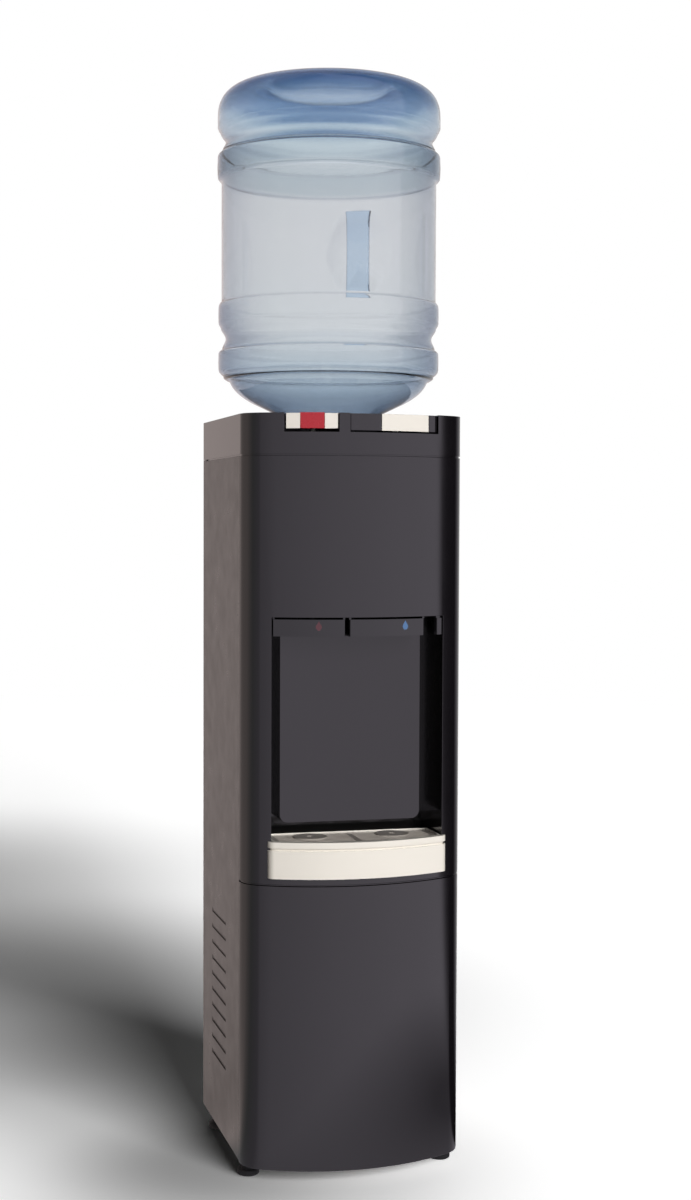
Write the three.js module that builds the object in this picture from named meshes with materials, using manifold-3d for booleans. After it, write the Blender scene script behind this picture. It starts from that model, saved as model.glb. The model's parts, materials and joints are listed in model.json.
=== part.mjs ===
// Floor-standing water dispenser, top-loading, hot and cold, with its returnable bottle.
// Units are millimetres and +Z is up. The working frame has the bottle's axis at x = 0, y = 0,
// the floor at z = 0 and the front of the cabinet towards -Y. The exported group then moves
// along Y so that the origin is the middle of the footprint.

import * as THREE from 'three';
import { mergeVertices } from 'three/addons/utils/BufferGeometryUtils.js';
import Module from 'manifold-3d';

const wasm = await Module();
wasm.setup();

// ---------------------------------------------------------------- driving dimensions

const fit = 0.3;                 // clearance between neighbouring pieces
const panLip = 14;               // height of the base pan's lip
const skirtDepth = 10;           // locating skirt under the top cover
const roundSteps = 28;           // sides of the larger round pieces that sit in each other

const cabinet = {
  width: 266,
  height: 897,
  rearY: 120.5,
  bowApexY: -168.5,              // middle of the bowed front
  bowRadius: 237.5,
  cornerRadius: 35,
  footHeight: 19.5,              // underside of the base pan
  sideBottom: 21.5,              // lower edge of the side panels
  lowerPanelTop: 351.8,
  seam: 2,                       // shadow gap between moulded panels
  coverHeight: 47,
  panelWall: 2.5,
  sheet: 1.2,
  backPanelY: 100,
};

// What hangs under the top cover, by its distance below the cover's top.
const drops = {
  leverTop: 0.5,
  leverPivot: 11,
  leverPlate: 14.8,
  hotCap: 18,
  coldCap: 20,
  sill: 22,
  wellFloor: 29,
  probe: 29,
  tankTop: 62,
  switches: 75,
  guide: 97,
  tankBottom: 192,
  bayTop: 234.5,
  hotShelf: 435,
};

// What stands near a side, by its distance inwards from that side.
const inwards = {
  foot: 14.5,
  suctionLine: 19,
  dischargeLine: 21,
  bay: 30,
  switches: [56, 36],
  inlet: 45,
  condenserStrap: 47,
  condenserRun: 55,
};

const below = (drop) => cabinet.height - drop;
const fromSide = (distance) => cabinet.width / 2 - distance;

const baySill = 14.2;             // lower edge of the opening above the lower panel

const bay = {
  halfWidth: fromSide(inwards.bay), // opening in the front
  bottom: cabinet.lowerPanelTop + baySill,
  top: below(drops.bayTop),
  backY: -63,
  wall: 2,
  sideRelief: 0.5,               // the liner is a little wider than the opening
  headroom: 3.5,                 // and a little higher
};

const column = {
  sideGap: 17.5,                 // between the column and the side of the opening
  frontY: -111,
  floorGap: 53,                  // under the column, above the bay's floor
  wall: 2.5,
  corner: 10,
};

const hood = {
  drop: 2.3,                     // below the top of the opening
  height: 19.5,
  wall: 2.5,
  setBack: 1,                    // behind the bowed surface
  sideGaps: [1.2, 1],            // left of the hot block, right of the end block
  hotInner: -20.9,
  cold: [-16.3, 77.7],
  endWidth: 7.7,
};

const tap = {
  offset: 50,                    // each spout from the middle
  y: -124,
  spoutRadius: 7,
  boreRadius: 4.5,
  bodyRadius: 12,
  chamberRadius: 8,
  bodyHeight: 35,
  chamberFloor: 6,
  inletHeight: 20,
  stemRadius: 2.5,
  sealRadius: 7,
  springRadius: 5.2,
  springHeight: 24,
  springTurns: 4,
  wireRadius: 0.8,
  rodRadius: 3,
};

const lever = {
  pivotY: -98,
  pivotZ: below(drops.leverPivot),
  pinRadius: 2,
  pinSeat: 1.7,                  // the pin's depth in the outer walls of the wells
  barrelRadius: 4.5,
  sill: below(drops.sill),       // lower edge of the notch in the cover's front
  wellFloor: below(drops.wellFloor),
  wellRearY: -91,
  wellWall: 2.5,
  setBack: 3.1,                  // front faces behind the bowed surface, clear of the cover's wall
  top: below(drops.leverTop),
  capRearY: -126,
  capWall: 2.5,
  plateBottom: below(drops.leverPlate),
  plateThickness: 3,
  hotWell: [-90, -29],
  hotCap: [-87.3, -30],
  hotCapBottom: below(drops.hotCap),
  lock: [-72, -45.2],
  lockTravel: 5,
  lockProud: 0.8,
  coldWell: [-16.3, 95],
  coldCap: [22, 82.5],
  coldCapBottom: below(drops.coldCap),
};

const tray = {
  sideLap: 4,                    // fascia beyond each side of the opening
  sillLap: 4.5,                  // and below it
  rimHeight: 38,                 // rim above the bay's floor
  proud: 7,                      // fascia in front of the bowed panel
  wall: 2,
  lipHeight: 7,
  grooveHeight: 3,
  grooveDepth: 1.2,
  endRadius: 10,
  panGap: 2,                     // between the pan and the side of the opening
  rearY: -92,
  grilleThickness: 2.5,
  grilleDrop: 1.5,               // grille below the rim
  slotPitch: 8,
  slotWidth: 4,
  slotRib: 6,                    // solid strip between the left and the right slots
  border: 7,                     // solid edge round the slots
  discRadius: 20,
  discY: -117,
  discHeight: 1,
};

const bottle = {
  neckRadius: 27.5,
  neckLength: 59,
  neckTop: -17,                  // heights are measured from the top cover
  coneStart: [34, -7.9],
  coneEnd: [92, 19.4],
  shoulderPull: [116, 31.5],     // the shoulder's curve leans towards this point
  shoulderEnd: [121, 46],
  wallRadius: 131,
  bandRadius: 134.7,
  upperBandRadius: 136.2,
  grooveRadius: 126,
  lowerBand: [62, 82],
  lowerGroove: 98,
  middleBand: [116, 134],
  plainWall: [147, 287],
  upperBand: [304, 321],
  upperGroove: 340,
  crownBand: [357, 367],
  crownFlat: 86,                 // flat middle of the bottle's base
  crownPower: 0.8,               // below 1 is squarer than a quarter circle
  height: 409,
  punt: 10,
  wall: 2.5,
  handleAngle: 29,               // degrees from the rear towards +X
  handleWidth: 30,
  handleThickness: 12,
  handleHeight: [152, 282],
  scoop: [54, 40, 58],           // half axes of the hollow behind the handle
  scoopOut: 6,                   // its middle outside the wall
};

const seat = {
  rimRadius: 82,
  rimHeight: 4,
  holeRadius: 76,
  landOuter: 60,
  landInner: 38,
  landGap: 0.4,                  // under the bottle's cone, measured along Z
  guideRadius: 33.5,
  guideWall: 2.5,
  guideBottom: below(drops.guide),
  webThickness: 3,
};

const probe = { radius: 9, flangeRadius: 16, flangeHeight: 3, top: below(drops.probe), bore: 4.5, port: 3 };

const coldTank = {
  radius: 79,
  wall: 1,
  bottom: below(drops.tankBottom),
  top: below(drops.tankTop),
  nippleRadius: 4,
  nippleBore: 2.8,
  outletRise: 9,                 // outlet above the tank's bottom
  feedX: 20,
  feedY: 25,
  coilTubeRadius: 3,
  coilTurns: 5,
  coilSteps: 18,
  coilMargins: [21, 11],         // coil's ends from the tank's bottom and top
};

const baffle = { height: 42, thickness: 2, tubeRadius: 14, tubeWall: 3 };

const insulation = { radius: 95, floor: 16, lid: 10 };

const shelf = { thickness: 2, frontY: -72, hotFrontY: -58, hotZ: below(drops.hotShelf) };

const hotTank = {
  x: 0,
  y: 25,
  radius: 45,
  wall: 1.5,
  standoff: 18,                  // above its shelf
  height: 124,
  nippleLength: 8,
  outletX: -20,
  inletX: 20,
  jacketRadius: 60,
  jacketGap: 4,
  bandHeight: 34,
  bandThickness: 3,
};

const tube = { radius: 4, drainRadius: 6, drainZ: 235, drainEnd: 113, lineRadius: 3, tapReach: 22 };

// The hot water tube's way from the tank to its tap, by the level each stretch is measured from.
const hotRoute = {
  rise: 25,                      // straight up from the tank
  elbow: [4, -12, -7],           // from the outlet, and from the middle of the corridor
  corridor: [[-12, -20, 0], [-10, -70, 0], [-9, -104, 1]], // between the liner's roof and the shelf
  besideTaps: [[-14, 4, -3], [-20, 0, 0]], // from the taps' line and their inlets
};

const compressor = {
  x: 0,
  y: 28,
  radius: 58,
  bottom: 31,
  height: 150,
  plate: [150, 104, 3],
  footInset: 14,                 // rounding of the shell's foot
  footRise: [14, 30],
  weld: [78, 80, 86, 88],        // heights of the welded rim round the shell
  weldProud: 2.5,
  shoulder: [4, 118],            // inset and height where the dome starts
  dome: [[16, 12], [34, 2]],     // inset, and depth below the top
  stubs: [22, 20, 8],            // offset from the middle, start below and end above the top
};

const condenser = {
  y: 110.5,
  tubeRadius: 2.5,
  halfRun: fromSide(inwards.condenserRun),
  bottom: 350,
  pitch: 40,
  topGap: 50,                    // at least, between the last run and the cover
  strapX: fromSide(inwards.condenserStrap),
  strapWidth: 8,
  strapDepth: 3,
};

const switches = {
  x: inwards.switches.map(fromSide),
  z: below(drops.switches),
  plateSize: [50, 34],
  plateThickness: 3,
  rockerWidth: 15,
  rockerHeight: 21,
  rockerDepth: 12,
  windowClearance: 1.2,
};

const inlet = {
  x: -fromSide(inwards.inlet),
  z: 235,
  width: 50,
  height: 30,
  flange: 2.5,
  depth: 22,
  recess: [25, 17, 17],          // width, height and depth of the socket
  pinLength: 7,
  wall: 2.5,
};

// x and z of the discharge line in the back panel, x and y of the suction line through the shelves
const dischargeExit = [fromSide(inwards.dischargeLine), 318];
const suctionAt = [-fromSide(inwards.suctionLine), 62];

const foot = { x: fromSide(inwards.foot), frontY: -93, rearY: 100, radius: 13, padHeight: 7, neckRadius: 8 };

const louvres = { count: 10, lowest: 108, highest: 286, frontY: -27.5, rearY: 59.5, height: 5.5, depth: 2.4 };

// ---------------------------------------------------------------- values that follow from them

const halfWidth = cabinet.width / 2;
const bowCentreY = cabinet.bowApexY + cabinet.bowRadius;
const cornerX = halfWidth - cabinet.cornerRadius;
const cornerReach = cabinet.bowRadius - cabinet.cornerRadius;
const cornerY = bowCentreY - Math.sqrt(cornerReach ** 2 - cornerX ** 2);
const cornerAngle = Math.asin(cornerX / cornerReach);
const sideFrontY = cornerY + 2;
const coverBottom = cabinet.height - cabinet.coverHeight;
const panelTop = coverBottom - cabinet.seam;
const upperPanelBottom = cabinet.lowerPanelTop + cabinet.seam;
const panelInner = cabinet.panelWall + fit;
const lipInset = cabinet.panelWall / 2;           // half-thick lips close the seams from inside
const sideInner = halfWidth - cabinet.sheet;
const linerHalfWidth = bay.halfWidth + bay.sideRelief;
const linerTop = bay.top + bay.headroom;
const linerRoof = linerTop + bay.wall;
const backPanelRear = cabinet.backPanelY + cabinet.sheet;
const padTop = cabinet.footHeight;
const baseFloor = cabinet.footHeight + 2;
const shelfTop = coldTank.bottom - insulation.floor - 2 * fit;
const tapBodyBottom = linerRoof + fit;
const tapBodyTop = tapBodyBottom + tap.bodyHeight;
const tapInletZ = tapBodyBottom + tap.inletHeight;
const springBottom = tapBodyTop + fit;
const springTop = springBottom + tap.springHeight;
const rodBottom = springTop + 2 * fit + 3;
const rodTop = lever.plateBottom - 0.5;
const hoodTop = bay.top - hood.drop;
const hoodBottom = hoodTop - hood.height;
const columnHalfWidth = bay.halfWidth - column.sideGap;
const columnBottom = bay.bottom + column.floorGap;
const trayTop = bay.bottom + tray.rimHeight;
const trayBottom = bay.bottom - tray.sillLap;
const trayHalfWidth = bay.halfWidth + tray.sideLap;
const panHalfWidth = bay.halfWidth - tray.panGap;
const tankOutletZ = coldTank.bottom + coldTank.outletRise;
const hotTankBottom = shelf.hotZ + hotTank.standoff;
const hotTankTop = hotTankBottom + hotTank.height;
const condenserRuns = Math.floor((panelTop - condenser.topGap - condenser.bottom) / condenser.pitch) + 1;
const trayFrontY = cabinet.bowApexY - tray.proud;
const middleY = (trayFrontY + Math.max(cabinet.rearY, bottle.upperBandRadius)) / 2;
const coilRadius = (coldTank.radius + coldTank.coilTubeRadius + fit) / Math.cos(Math.PI / coldTank.coilSteps);
const compressorTop = compressor.bottom + compressor.plate[2] - 0.5 + compressor.height + compressor.stubs[2];
const condenserInletX = condenser.strapX + condenser.strapWidth / 2 + 6;
const rockerPivotY = backPanelRear + fit + switches.plateThickness - 2;
const insulationInner = (coilRadius + coldTank.coilTubeRadius + fit) / Math.cos(Math.PI / roundSteps);

// ---------------------------------------------------------------- solids

// Turns a closed geometry into a solid; its faces are turned outwards if they point in.
function solid(geometry) {
  geometry.deleteAttribute('normal');
  geometry.deleteAttribute('uv');
  const merged = mergeVertices(geometry, 1e-4);
  const position = merged.attributes.position;
  const corners = merged.index.array;
  const triangles = [];
  let volume = 0;
  const [a, b, c] = [new THREE.Vector3(), new THREE.Vector3(), new THREE.Vector3()];
  for (let i = 0; i < corners.length; i += 3) {
    const [p, q, r] = [corners[i], corners[i + 1], corners[i + 2]];
    if (p === q || q === r || r === p) continue;
    triangles.push(p, q, r);
    a.fromBufferAttribute(position, p);
    b.fromBufferAttribute(position, q);
    c.fromBufferAttribute(position, r);
    volume += a.dot(b.cross(c));
  }
  if (volume < 0) {
    for (let i = 0; i < triangles.length; i += 3) {
      [triangles[i + 1], triangles[i + 2]] = [triangles[i + 2], triangles[i + 1]];
    }
  }
  const mesh = new wasm.Mesh({
    numProp: 3,
    vertProperties: new Float32Array(position.array),
    triVerts: new Uint32Array(triangles),
  });
  return new wasm.Manifold(mesh);
}

const join = (...parts) => parts.reduce((whole, part) => whole.add(part));
const cut = (body, ...tools) => tools.reduce((rest, tool) => rest.subtract(tool), body);

function box([x0, x1], [y0, y1], [z0, z1]) {
  const geometry = new THREE.BoxGeometry(x1 - x0, y1 - y0, z1 - z0);
  geometry.translate((x0 + x1) / 2, (y0 + y1) / 2, (z0 + z1) / 2);
  return solid(geometry);
}

// A box by its middle and its size along X and Z, from y0 to y1.
function boxAt([x, z], [width, height], y0, y1) {
  return box([x - width / 2, x + width / 2], [y0, y1], [z - height / 2, z + height / 2]);
}

// A box that stands on z0, by its middle and its size along X and Y.
function slab([x, y], [width, depth], z0, z1) {
  return box([x - width / 2, x + width / 2], [y - depth / 2, y + depth / 2], [z0, z1]);
}

// A straight prism over an outline of [x, y] points, from z0 to z1.
function prism(points, z0, z1) {
  const shape = new THREE.Shape(points.map(([x, y]) => new THREE.Vector2(x, y)));
  const geometry = new THREE.ExtrudeGeometry(shape, { depth: z1 - z0, bevelEnabled: false });
  geometry.translate(0, 0, z0);
  return solid(geometry);
}

// A prism along X over an outline of [y, z] points, from x0 to x1.
function prismX(points, x0, x1) {
  const shape = new THREE.Shape(points.map(([y, z]) => new THREE.Vector2(y, z)));
  const geometry = new THREE.ExtrudeGeometry(shape, { depth: x1 - x0, bevelEnabled: false });
  geometry.rotateX(Math.PI / 2).rotateZ(Math.PI / 2).translate(x0, 0, 0);
  return solid(geometry);
}

// A prism along Y over an outline of [x, z] points, from y0 to y1.
function prismY(points, y0, y1) {
  const shape = new THREE.Shape(points.map(([x, z]) => new THREE.Vector2(x, z)));
  const geometry = new THREE.ExtrudeGeometry(shape, { depth: y1 - y0, bevelEnabled: false });
  geometry.rotateX(Math.PI / 2).translate(0, y1, 0);
  return solid(geometry);
}

// A body of revolution about a vertical axis, over a closed profile of [radius, z] points.
function turned(profile, segments, [x, y] = [0, 0]) {
  const points = profile.map(([r, z]) => new THREE.Vector2(r, z));
  points.push(points[0].clone());
  const geometry = new THREE.LatheGeometry(points, segments);
  geometry.rotateX(Math.PI / 2).translate(x, y, 0);
  return solid(geometry);
}

// A ring with square edges about a vertical axis.
function ring(inner, outer, bottom, top, segments, centre) {
  return turned([[inner, bottom], [outer, bottom], [outer, top], [inner, top]], segments, centre);
}

// A plain disc on the main axis.
function disc(radius, bottom, top) {
  return turned([[0, bottom], [radius, bottom], [radius, top], [0, top]], roundSteps);
}

function rod(from, to, radius, sides = 16) {
  const start = new THREE.Vector3(...from);
  const end = new THREE.Vector3(...to);
  const direction = end.clone().sub(start);
  const geometry = new THREE.CylinderGeometry(radius, radius, direction.length(), sides);
  const turn = new THREE.Quaternion().setFromUnitVectors(new THREE.Vector3(0, 1, 0), direction.normalize());
  geometry.applyQuaternion(turn);
  const middle = start.add(end).multiplyScalar(0.5);
  geometry.translate(middle.x, middle.y, middle.z);
  return solid(geometry);
}

// A round bar that follows a curve.
function bar(curve, radius, steps, sides = 8) {
  const outline = arc([0, 0], radius, 0, 2 * Math.PI, sides).slice(1);
  const section = new THREE.Shape(outline.map(([x, y]) => new THREE.Vector2(x, y)));
  const geometry = new THREE.ExtrudeGeometry(section, {
    steps,
    extrudePath: curve,
    bevelEnabled: false,
  });
  return solid(geometry);
}

function spline(points) {
  return new THREE.CatmullRomCurve3(points.map((point) => new THREE.Vector3(...point)), false, 'centripetal');
}

// ---------------------------------------------------------------- outlines

function arc([x, y], radius, from, to, steps) {
  const points = [];
  for (let i = 0; i <= steps; i += 1) {
    const angle = from + ((to - from) * i) / steps;
    points.push([x + radius * Math.cos(angle), y + radius * Math.sin(angle)]);
  }
  return points;
}

const bowSteps = 16;
const cornerSteps = 6;
const front = 1.5 * Math.PI;     // angle of the -Y direction

// The rounded, bowed front of the cabinet from left to right, inset from the outer surface.
function frontLine(inset) {
  const corner = cabinet.cornerRadius - inset;
  const bow = cabinet.bowRadius - inset;
  return [
    ...arc([-cornerX, cornerY], corner, Math.PI, front - cornerAngle, cornerSteps).slice(0, -1),
    ...arc([0, bowCentreY], bow, front - cornerAngle, front + cornerAngle, bowSteps),
    ...arc([cornerX, cornerY], corner, front + cornerAngle, 2 * Math.PI, cornerSteps).slice(1),
  ];
}

// The whole plan of the cabinet: bowed front, straight sides, square back. The sides may be
// inset less than the front, because the side panels are thinner than the moulded ones.
function plan(inset, sideInset, rearY) {
  const side = halfWidth - sideInset;
  const shoulder = halfWidth - inset;
  const stepY = sideFrontY + fit;
  const step = sideInset === inset ? [] : [[shoulder, stepY], [side, stepY]];
  const mirrored = step.map(([x, y]) => [-x, y]).reverse();
  return [[-side, rearY], ...mirrored, ...frontLine(inset), ...step, [side, rearY]];
}

// The bowed wall of a front panel, from one inset to a deeper one.
function bowedWall(outerInset, innerInset, bottom, top) {
  const endY = sideFrontY - fit;
  const [outer, inner] = [outerInset, innerInset].map((inset) => [
    [inset - halfWidth, endY],
    ...frontLine(inset),
    [halfWidth - inset, endY],
  ]);
  return prism([...outer, ...inner.reverse()], bottom, top);
}

// A moulded front panel: the bowed wall and the two tongues that slip inside the side panels.
function frontShell(bottom, top) {
  const wall = bowedWall(0, cabinet.panelWall, bottom, top);
  const tongueOuter = sideInner - fit;
  const tongueLength = 12;
  const tongueSpan = [bottom + panLip + 4, top - skirtDepth - 4];
  const tongues = [-1, 1].map((side) => {
    const span = [side * tongueOuter, side * (tongueOuter - cabinet.panelWall)].sort((p, q) => p - q);
    return box(span, [cornerY - 1, sideFrontY + tongueLength], tongueSpan);
  });
  return join(wall, ...tongues);
}

// y of the bowed surface at a distance x from the middle.
const bowY = (x, inset = 0) => bowCentreY - Math.sqrt((cabinet.bowRadius - inset) ** 2 - x ** 2);

// The block between x0 and x1 from the bowed front, inset, back to rearY.
function bowedSlice([x0, x1], inset, rearY, bottom, top) {
  const slice = box([x0, x1], [-2 * halfWidth, rearY], [bottom, top]);
  return slice.intersect(prism(plan(inset, inset, cabinet.rearY), bottom, top));
}

// A rod along the levers' common pivot.
const pivotRod = (x0, x1, radius, sides) => rod(
  [x0, lever.pivotY, lever.pivotZ],
  [x1, lever.pivotY, lever.pivotZ],
  radius,
  sides,
);

// ---------------------------------------------------------------- the object

const dispenser = new THREE.Group();
dispenser.position.y = -middleY;

const finishes = {
  charcoal: { color: 0x47454a, roughness: 0.34, metalness: 0 },
  black: { color: 0x0b0b0c, roughness: 0.12, metalness: 0 },
  hoodGrey: { color: 0x3c3b40, roughness: 0.2, metalness: 0 },
  paintedSteel: { color: 0x6e6763, roughness: 0.5, metalness: 0 },
  cream: { color: 0xf1ece2, roughness: 0.32, metalness: 0 },
  red: { color: 0xbb1f2a, roughness: 0.3, metalness: 0 },
  greyGrille: { color: 0x8d857c, roughness: 0.4, metalness: 0 },
  galvanised: { color: 0xa9abad, roughness: 0.45, metalness: 0.9 },
  stainless: { color: 0xc4c6c8, roughness: 0.25, metalness: 1 },
  copper: { color: 0xb66b45, roughness: 0.35, metalness: 1 },
  blackSteel: { color: 0x141415, roughness: 0.5, metalness: 0.3 },
  rubber: { color: 0x17181a, roughness: 0.85, metalness: 0 },
  whitePlastic: { color: 0xe8e8e4, roughness: 0.4, metalness: 0 },
  silicone: { color: 0xd9dcdc, roughness: 0.5, metalness: 0 },
  foam: { color: 0xf3f3f0, roughness: 0.95, metalness: 0 },
  bottleBlue: { color: 0x9fc0de, roughness: 0.08, metalness: 0 },
  capBlue: { color: 0x2c62b0, roughness: 0.35, metalness: 0 },
};

const materials = {};
for (const [name, values] of Object.entries(finishes)) {
  materials[name] = new THREE.MeshStandardMaterial({ name, ...values });
}

function place(name, body, finish) {
  const { vertProperties, triVerts } = body.getMesh();
  const geometry = new THREE.BufferGeometry();
  geometry.setAttribute('position', new THREE.BufferAttribute(vertProperties, 3));
  geometry.setIndex(new THREE.BufferAttribute(triVerts, 1));
  const mesh = new THREE.Mesh(geometry, materials[finish]);
  mesh.name = name;
  dispenser.add(mesh);
}

// ---- base pan and feet

function basePan() {
  const lipWall = 1.2;
  const rear = cabinet.backPanelY - fit;
  const outer = plan(panelInner, cabinet.sheet + fit, rear);
  const inner = plan(panelInner + lipWall, cabinet.sheet + fit + lipWall, rear - lipWall);
  const pan = prism(outer, cabinet.footHeight, cabinet.footHeight + panLip);
  return cut(pan, prism(inner, baseFloor, cabinet.footHeight + panLip + 1));
}

function levellingFoot(x, y) {
  const { radius, padHeight, neckRadius } = foot;
  const profile = [[0, 0], [radius - 1.5, 0], [radius, 1.5], [radius, padHeight - 1], [radius - 1, padHeight],
    [neckRadius, padHeight], [neckRadius, padTop], [0, padTop]];
  return turned(profile, 18, [x, y]);
}

place('base_pan', basePan(), 'galvanised');
place('foot_front_left', levellingFoot(-foot.x, foot.frontY), 'rubber');
place('foot_front_right', levellingFoot(foot.x, foot.frontY), 'rubber');
place('foot_rear_left', levellingFoot(-foot.x, foot.rearY - foot.radius), 'rubber');
place('foot_rear_right', levellingFoot(foot.x, foot.rearY - foot.radius), 'rubber');

// ---- sheet-steel side panels with louvres pressed in, and the back panel

// One louvre blade in the x-z plane; it is pressed in and leans down behind its slot.
function louvreBlade(side, slotBottom) {
  const { height, depth } = louvres;
  const outer = side * halfWidth;
  const inner = side * sideInner;
  const lip = side * (halfWidth - depth);
  const lipInner = side * (sideInner - depth);
  const top = slotBottom + height;
  const tip = slotBottom + 1;
  return [[outer, top + 1.5], [inner, top + 1.5], [inner, top - 0.3], [lipInner, tip + 1],
    [lipInner, tip], [lip, tip], [outer, top]];
}

function sidePanel(side) {
  const span = [side * halfWidth, side * sideInner].sort((p, q) => p - q);
  const returnSpan = [side * sideInner, side * (sideInner - 10)].sort((p, q) => p - q);
  const rearSpan = [cabinet.rearY - cabinet.sheet, cabinet.rearY];
  const height = [cabinet.sideBottom, panelTop];
  const overlap = 0.5;
  const flangeSpan = side < 0 ? [span[0] + overlap, returnSpan[1]] : [returnSpan[0], span[1] - overlap];
  const rearTop = [panelTop - 1, coverBottom - fit];
  let panel = join(
    box(span, [sideFrontY, cabinet.rearY], height),
    box(flangeSpan, rearSpan, height),
    box(span, [cabinet.backPanelY, cabinet.rearY], rearTop),
    box(flangeSpan, rearSpan, rearTop),
  );
  const pitch = (louvres.highest - louvres.lowest) / (louvres.count - 1);
  for (let i = 0; i < louvres.count; i += 1) {
    const bottom = louvres.lowest + i * pitch - louvres.height / 2;
    const slotX = [Math.min(...span) - 1, Math.max(...span) + 1];
    panel = panel.subtract(box(slotX, [louvres.frontY, louvres.rearY], [bottom, bottom + louvres.height]));
    panel = panel.add(prismY(louvreBlade(side, bottom), louvres.frontY, louvres.rearY));
  }
  return panel;
}

function backPanel() {
  const half = sideInner - fit;
  const through = [cabinet.backPanelY - 1, backPanelRear + 1];
  const sheetBody = box([-half, half], [cabinet.backPanelY, backPanelRear], [cabinet.sideBottom, panelTop]);
  const switchHoleWidth = switches.x[1] - switches.x[0] + switches.rockerWidth + 6;
  const switchMiddle = [(switches.x[0] + switches.x[1]) / 2, switches.z];
  const switchHole = boxAt(switchMiddle, [switchHoleWidth, switches.rockerHeight + 6], ...through);
  const socketRoom = 2 * (inlet.wall + fit);
  const inletSize = [inlet.recess[0] + socketRoom, inlet.recess[1] + socketRoom];
  const inletHole = boxAt([inlet.x, inlet.z], inletSize, ...through);
  const drainHole = rod([0, through[0], tube.drainZ], [0, through[1], tube.drainZ], tube.drainRadius + fit);
  const [lineX, lineZ] = dischargeExit;
  const lineHole = rod([lineX, through[0], lineZ], [lineX, through[1], lineZ], tube.lineRadius + 1.2);
  return cut(sheetBody, switchHole, inletHole, drainHole, lineHole);
}

place('left_side_panel', sidePanel(-1), 'paintedSteel');
place('right_side_panel', sidePanel(1), 'paintedSteel');
place('back_panel', backPanel(), 'galvanised');

// ---- moulded front panels

place('front_lower_panel', frontShell(cabinet.footHeight, cabinet.lowerPanelTop), 'charcoal');

const bayOpening = box([-bay.halfWidth, bay.halfWidth], [-2 * halfWidth, 0], [bay.bottom, bay.top]);
const upperShell = frontShell(upperPanelBottom, panelTop);
const seamLip = bowedWall(lipInset, cabinet.panelWall, cabinet.lowerPanelTop + fit, upperPanelBottom + 1);
place('front_upper_panel', cut(join(upperShell, seamLip), bayOpening), 'charcoal');

// ---- top cover with the two lever wells

function topCover() {
  const { height } = cabinet;
  const wall = cabinet.panelWall;
  const outer = prism(plan(0, 0, cabinet.rearY), coverBottom, height);
  const hollow = prism(plan(wall, wall, cabinet.rearY - wall), coverBottom - 1, height - wall);
  const skirtInset = panelInner;
  const skirtOuter = plan(skirtInset, skirtInset, cabinet.backPanelY - fit);
  const skirtInner = plan(skirtInset + wall, skirtInset + wall, cabinet.backPanelY - fit - wall);
  const skirt = cut(
    prism(skirtOuter, coverBottom - skirtDepth, coverBottom + wall),
    prism(skirtInner, coverBottom - skirtDepth - 1, coverBottom + wall + 1),
  );
  const ledgeBottom = panelTop + fit;
  const ledge = cut(
    prism(plan(lipInset, lipInset, cabinet.backPanelY - fit), ledgeBottom, coverBottom + wall),
    prism(skirtInner, ledgeBottom - 1, coverBottom + wall + 1),
  );
  const wells = [lever.hotWell, lever.coldWell];
  const wellBlocks = wells.map(([x0, x1]) => box(
    [x0 - lever.wellWall, x1 + lever.wellWall],
    [-2 * halfWidth, lever.wellRearY + lever.wellWall],
    [lever.wellFloor - lever.wellWall, height],
  ).intersect(outer));
  const notches = wells.map(([x0, x1]) => box(
    [x0, x1],
    [-2 * halfWidth, lever.wellRearY],
    [lever.sill, height + 1],
  ));
  const insideWall = prism(plan(wall, wall, cabinet.rearY), lever.wellFloor, height + 1);
  const wellHollows = wells.map(([x0, x1]) => box(
    [x0, x1],
    [-2 * halfWidth, lever.wellRearY],
    [lever.wellFloor, height + 1],
  ).intersect(insideWall));
  const seatHole = disc(seat.holeRadius + fit, coverBottom, height + 1);
  const rodHoles = [-1, 1].map((side) => rod(
    [side * tap.offset, tap.y, coverBottom],
    [side * tap.offset, tap.y, lever.wellFloor + 1],
    tap.rodRadius + 1,
  ));
  const pinHoleSpan = [lever.hotWell[0] - lever.pinSeat, lever.coldWell[1] + lever.pinSeat];
  const pinHole = pivotRod(...pinHoleSpan, lever.pinRadius + fit, 12);
  const body = join(cut(outer, hollow), skirt, ledge, ...wellBlocks);
  return cut(body, ...notches, ...wellHollows, seatHole, ...rodHoles, pinHole);
}

place('top_cover', topCover(), 'charcoal');

// ---- hot and cold levers, their caps, the child lock and the common pivot pin

// A dark lever: a plate under the cap, a raised rear part and the pivot barrel.
function leverBody(well, cap, capBottom) {
  const x = [well[0] + 1, well[1] - 1];
  const inset = lever.setBack + lever.capWall + fit;
  const plateTop = lever.plateBottom + lever.plateThickness;
  const plate = bowedSlice(x, inset, lever.pivotY, lever.plateBottom, plateTop);
  const rear = box(x, [lever.capRearY + fit, lever.pivotY], [lever.plateBottom, lever.top]);
  const barrel = pivotRod(...x, lever.barrelRadius, 16);
  const cheeks = [[x[0], cap[0] - fit], [cap[1] + fit, x[1]]]
    .filter(([from, to]) => to - from > 2)
    .map((span) => bowedSlice(span, lever.setBack, lever.capRearY + 1, capBottom, lever.top));
  const bore = pivotRod(x[0] - 1, x[1] + 1, lever.pinRadius + fit, 12);
  return cut(join(plate, rear, barrel, ...cheeks), bore);
}

// A cap: top and front skin with end walls, hollow over the lever's plate.
function leverCap(cap, bottom) {
  const wall = lever.capWall;
  const block = bowedSlice(cap, lever.setBack, lever.capRearY, bottom, lever.top);
  const underside = bowedSlice(
    [cap[0] + wall, cap[1] - wall],
    lever.setBack + wall,
    lever.capRearY + 1,
    bottom - 1,
    lever.top - wall,
  );
  const plateSlot = bowedSlice(
    [cap[0] - 1, cap[1] + 1],
    lever.setBack + wall,
    lever.capRearY + 1,
    bottom - 1,
    lever.plateBottom + lever.plateThickness + fit,
  );
  return cut(block, underside, plateSlot);
}

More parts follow.
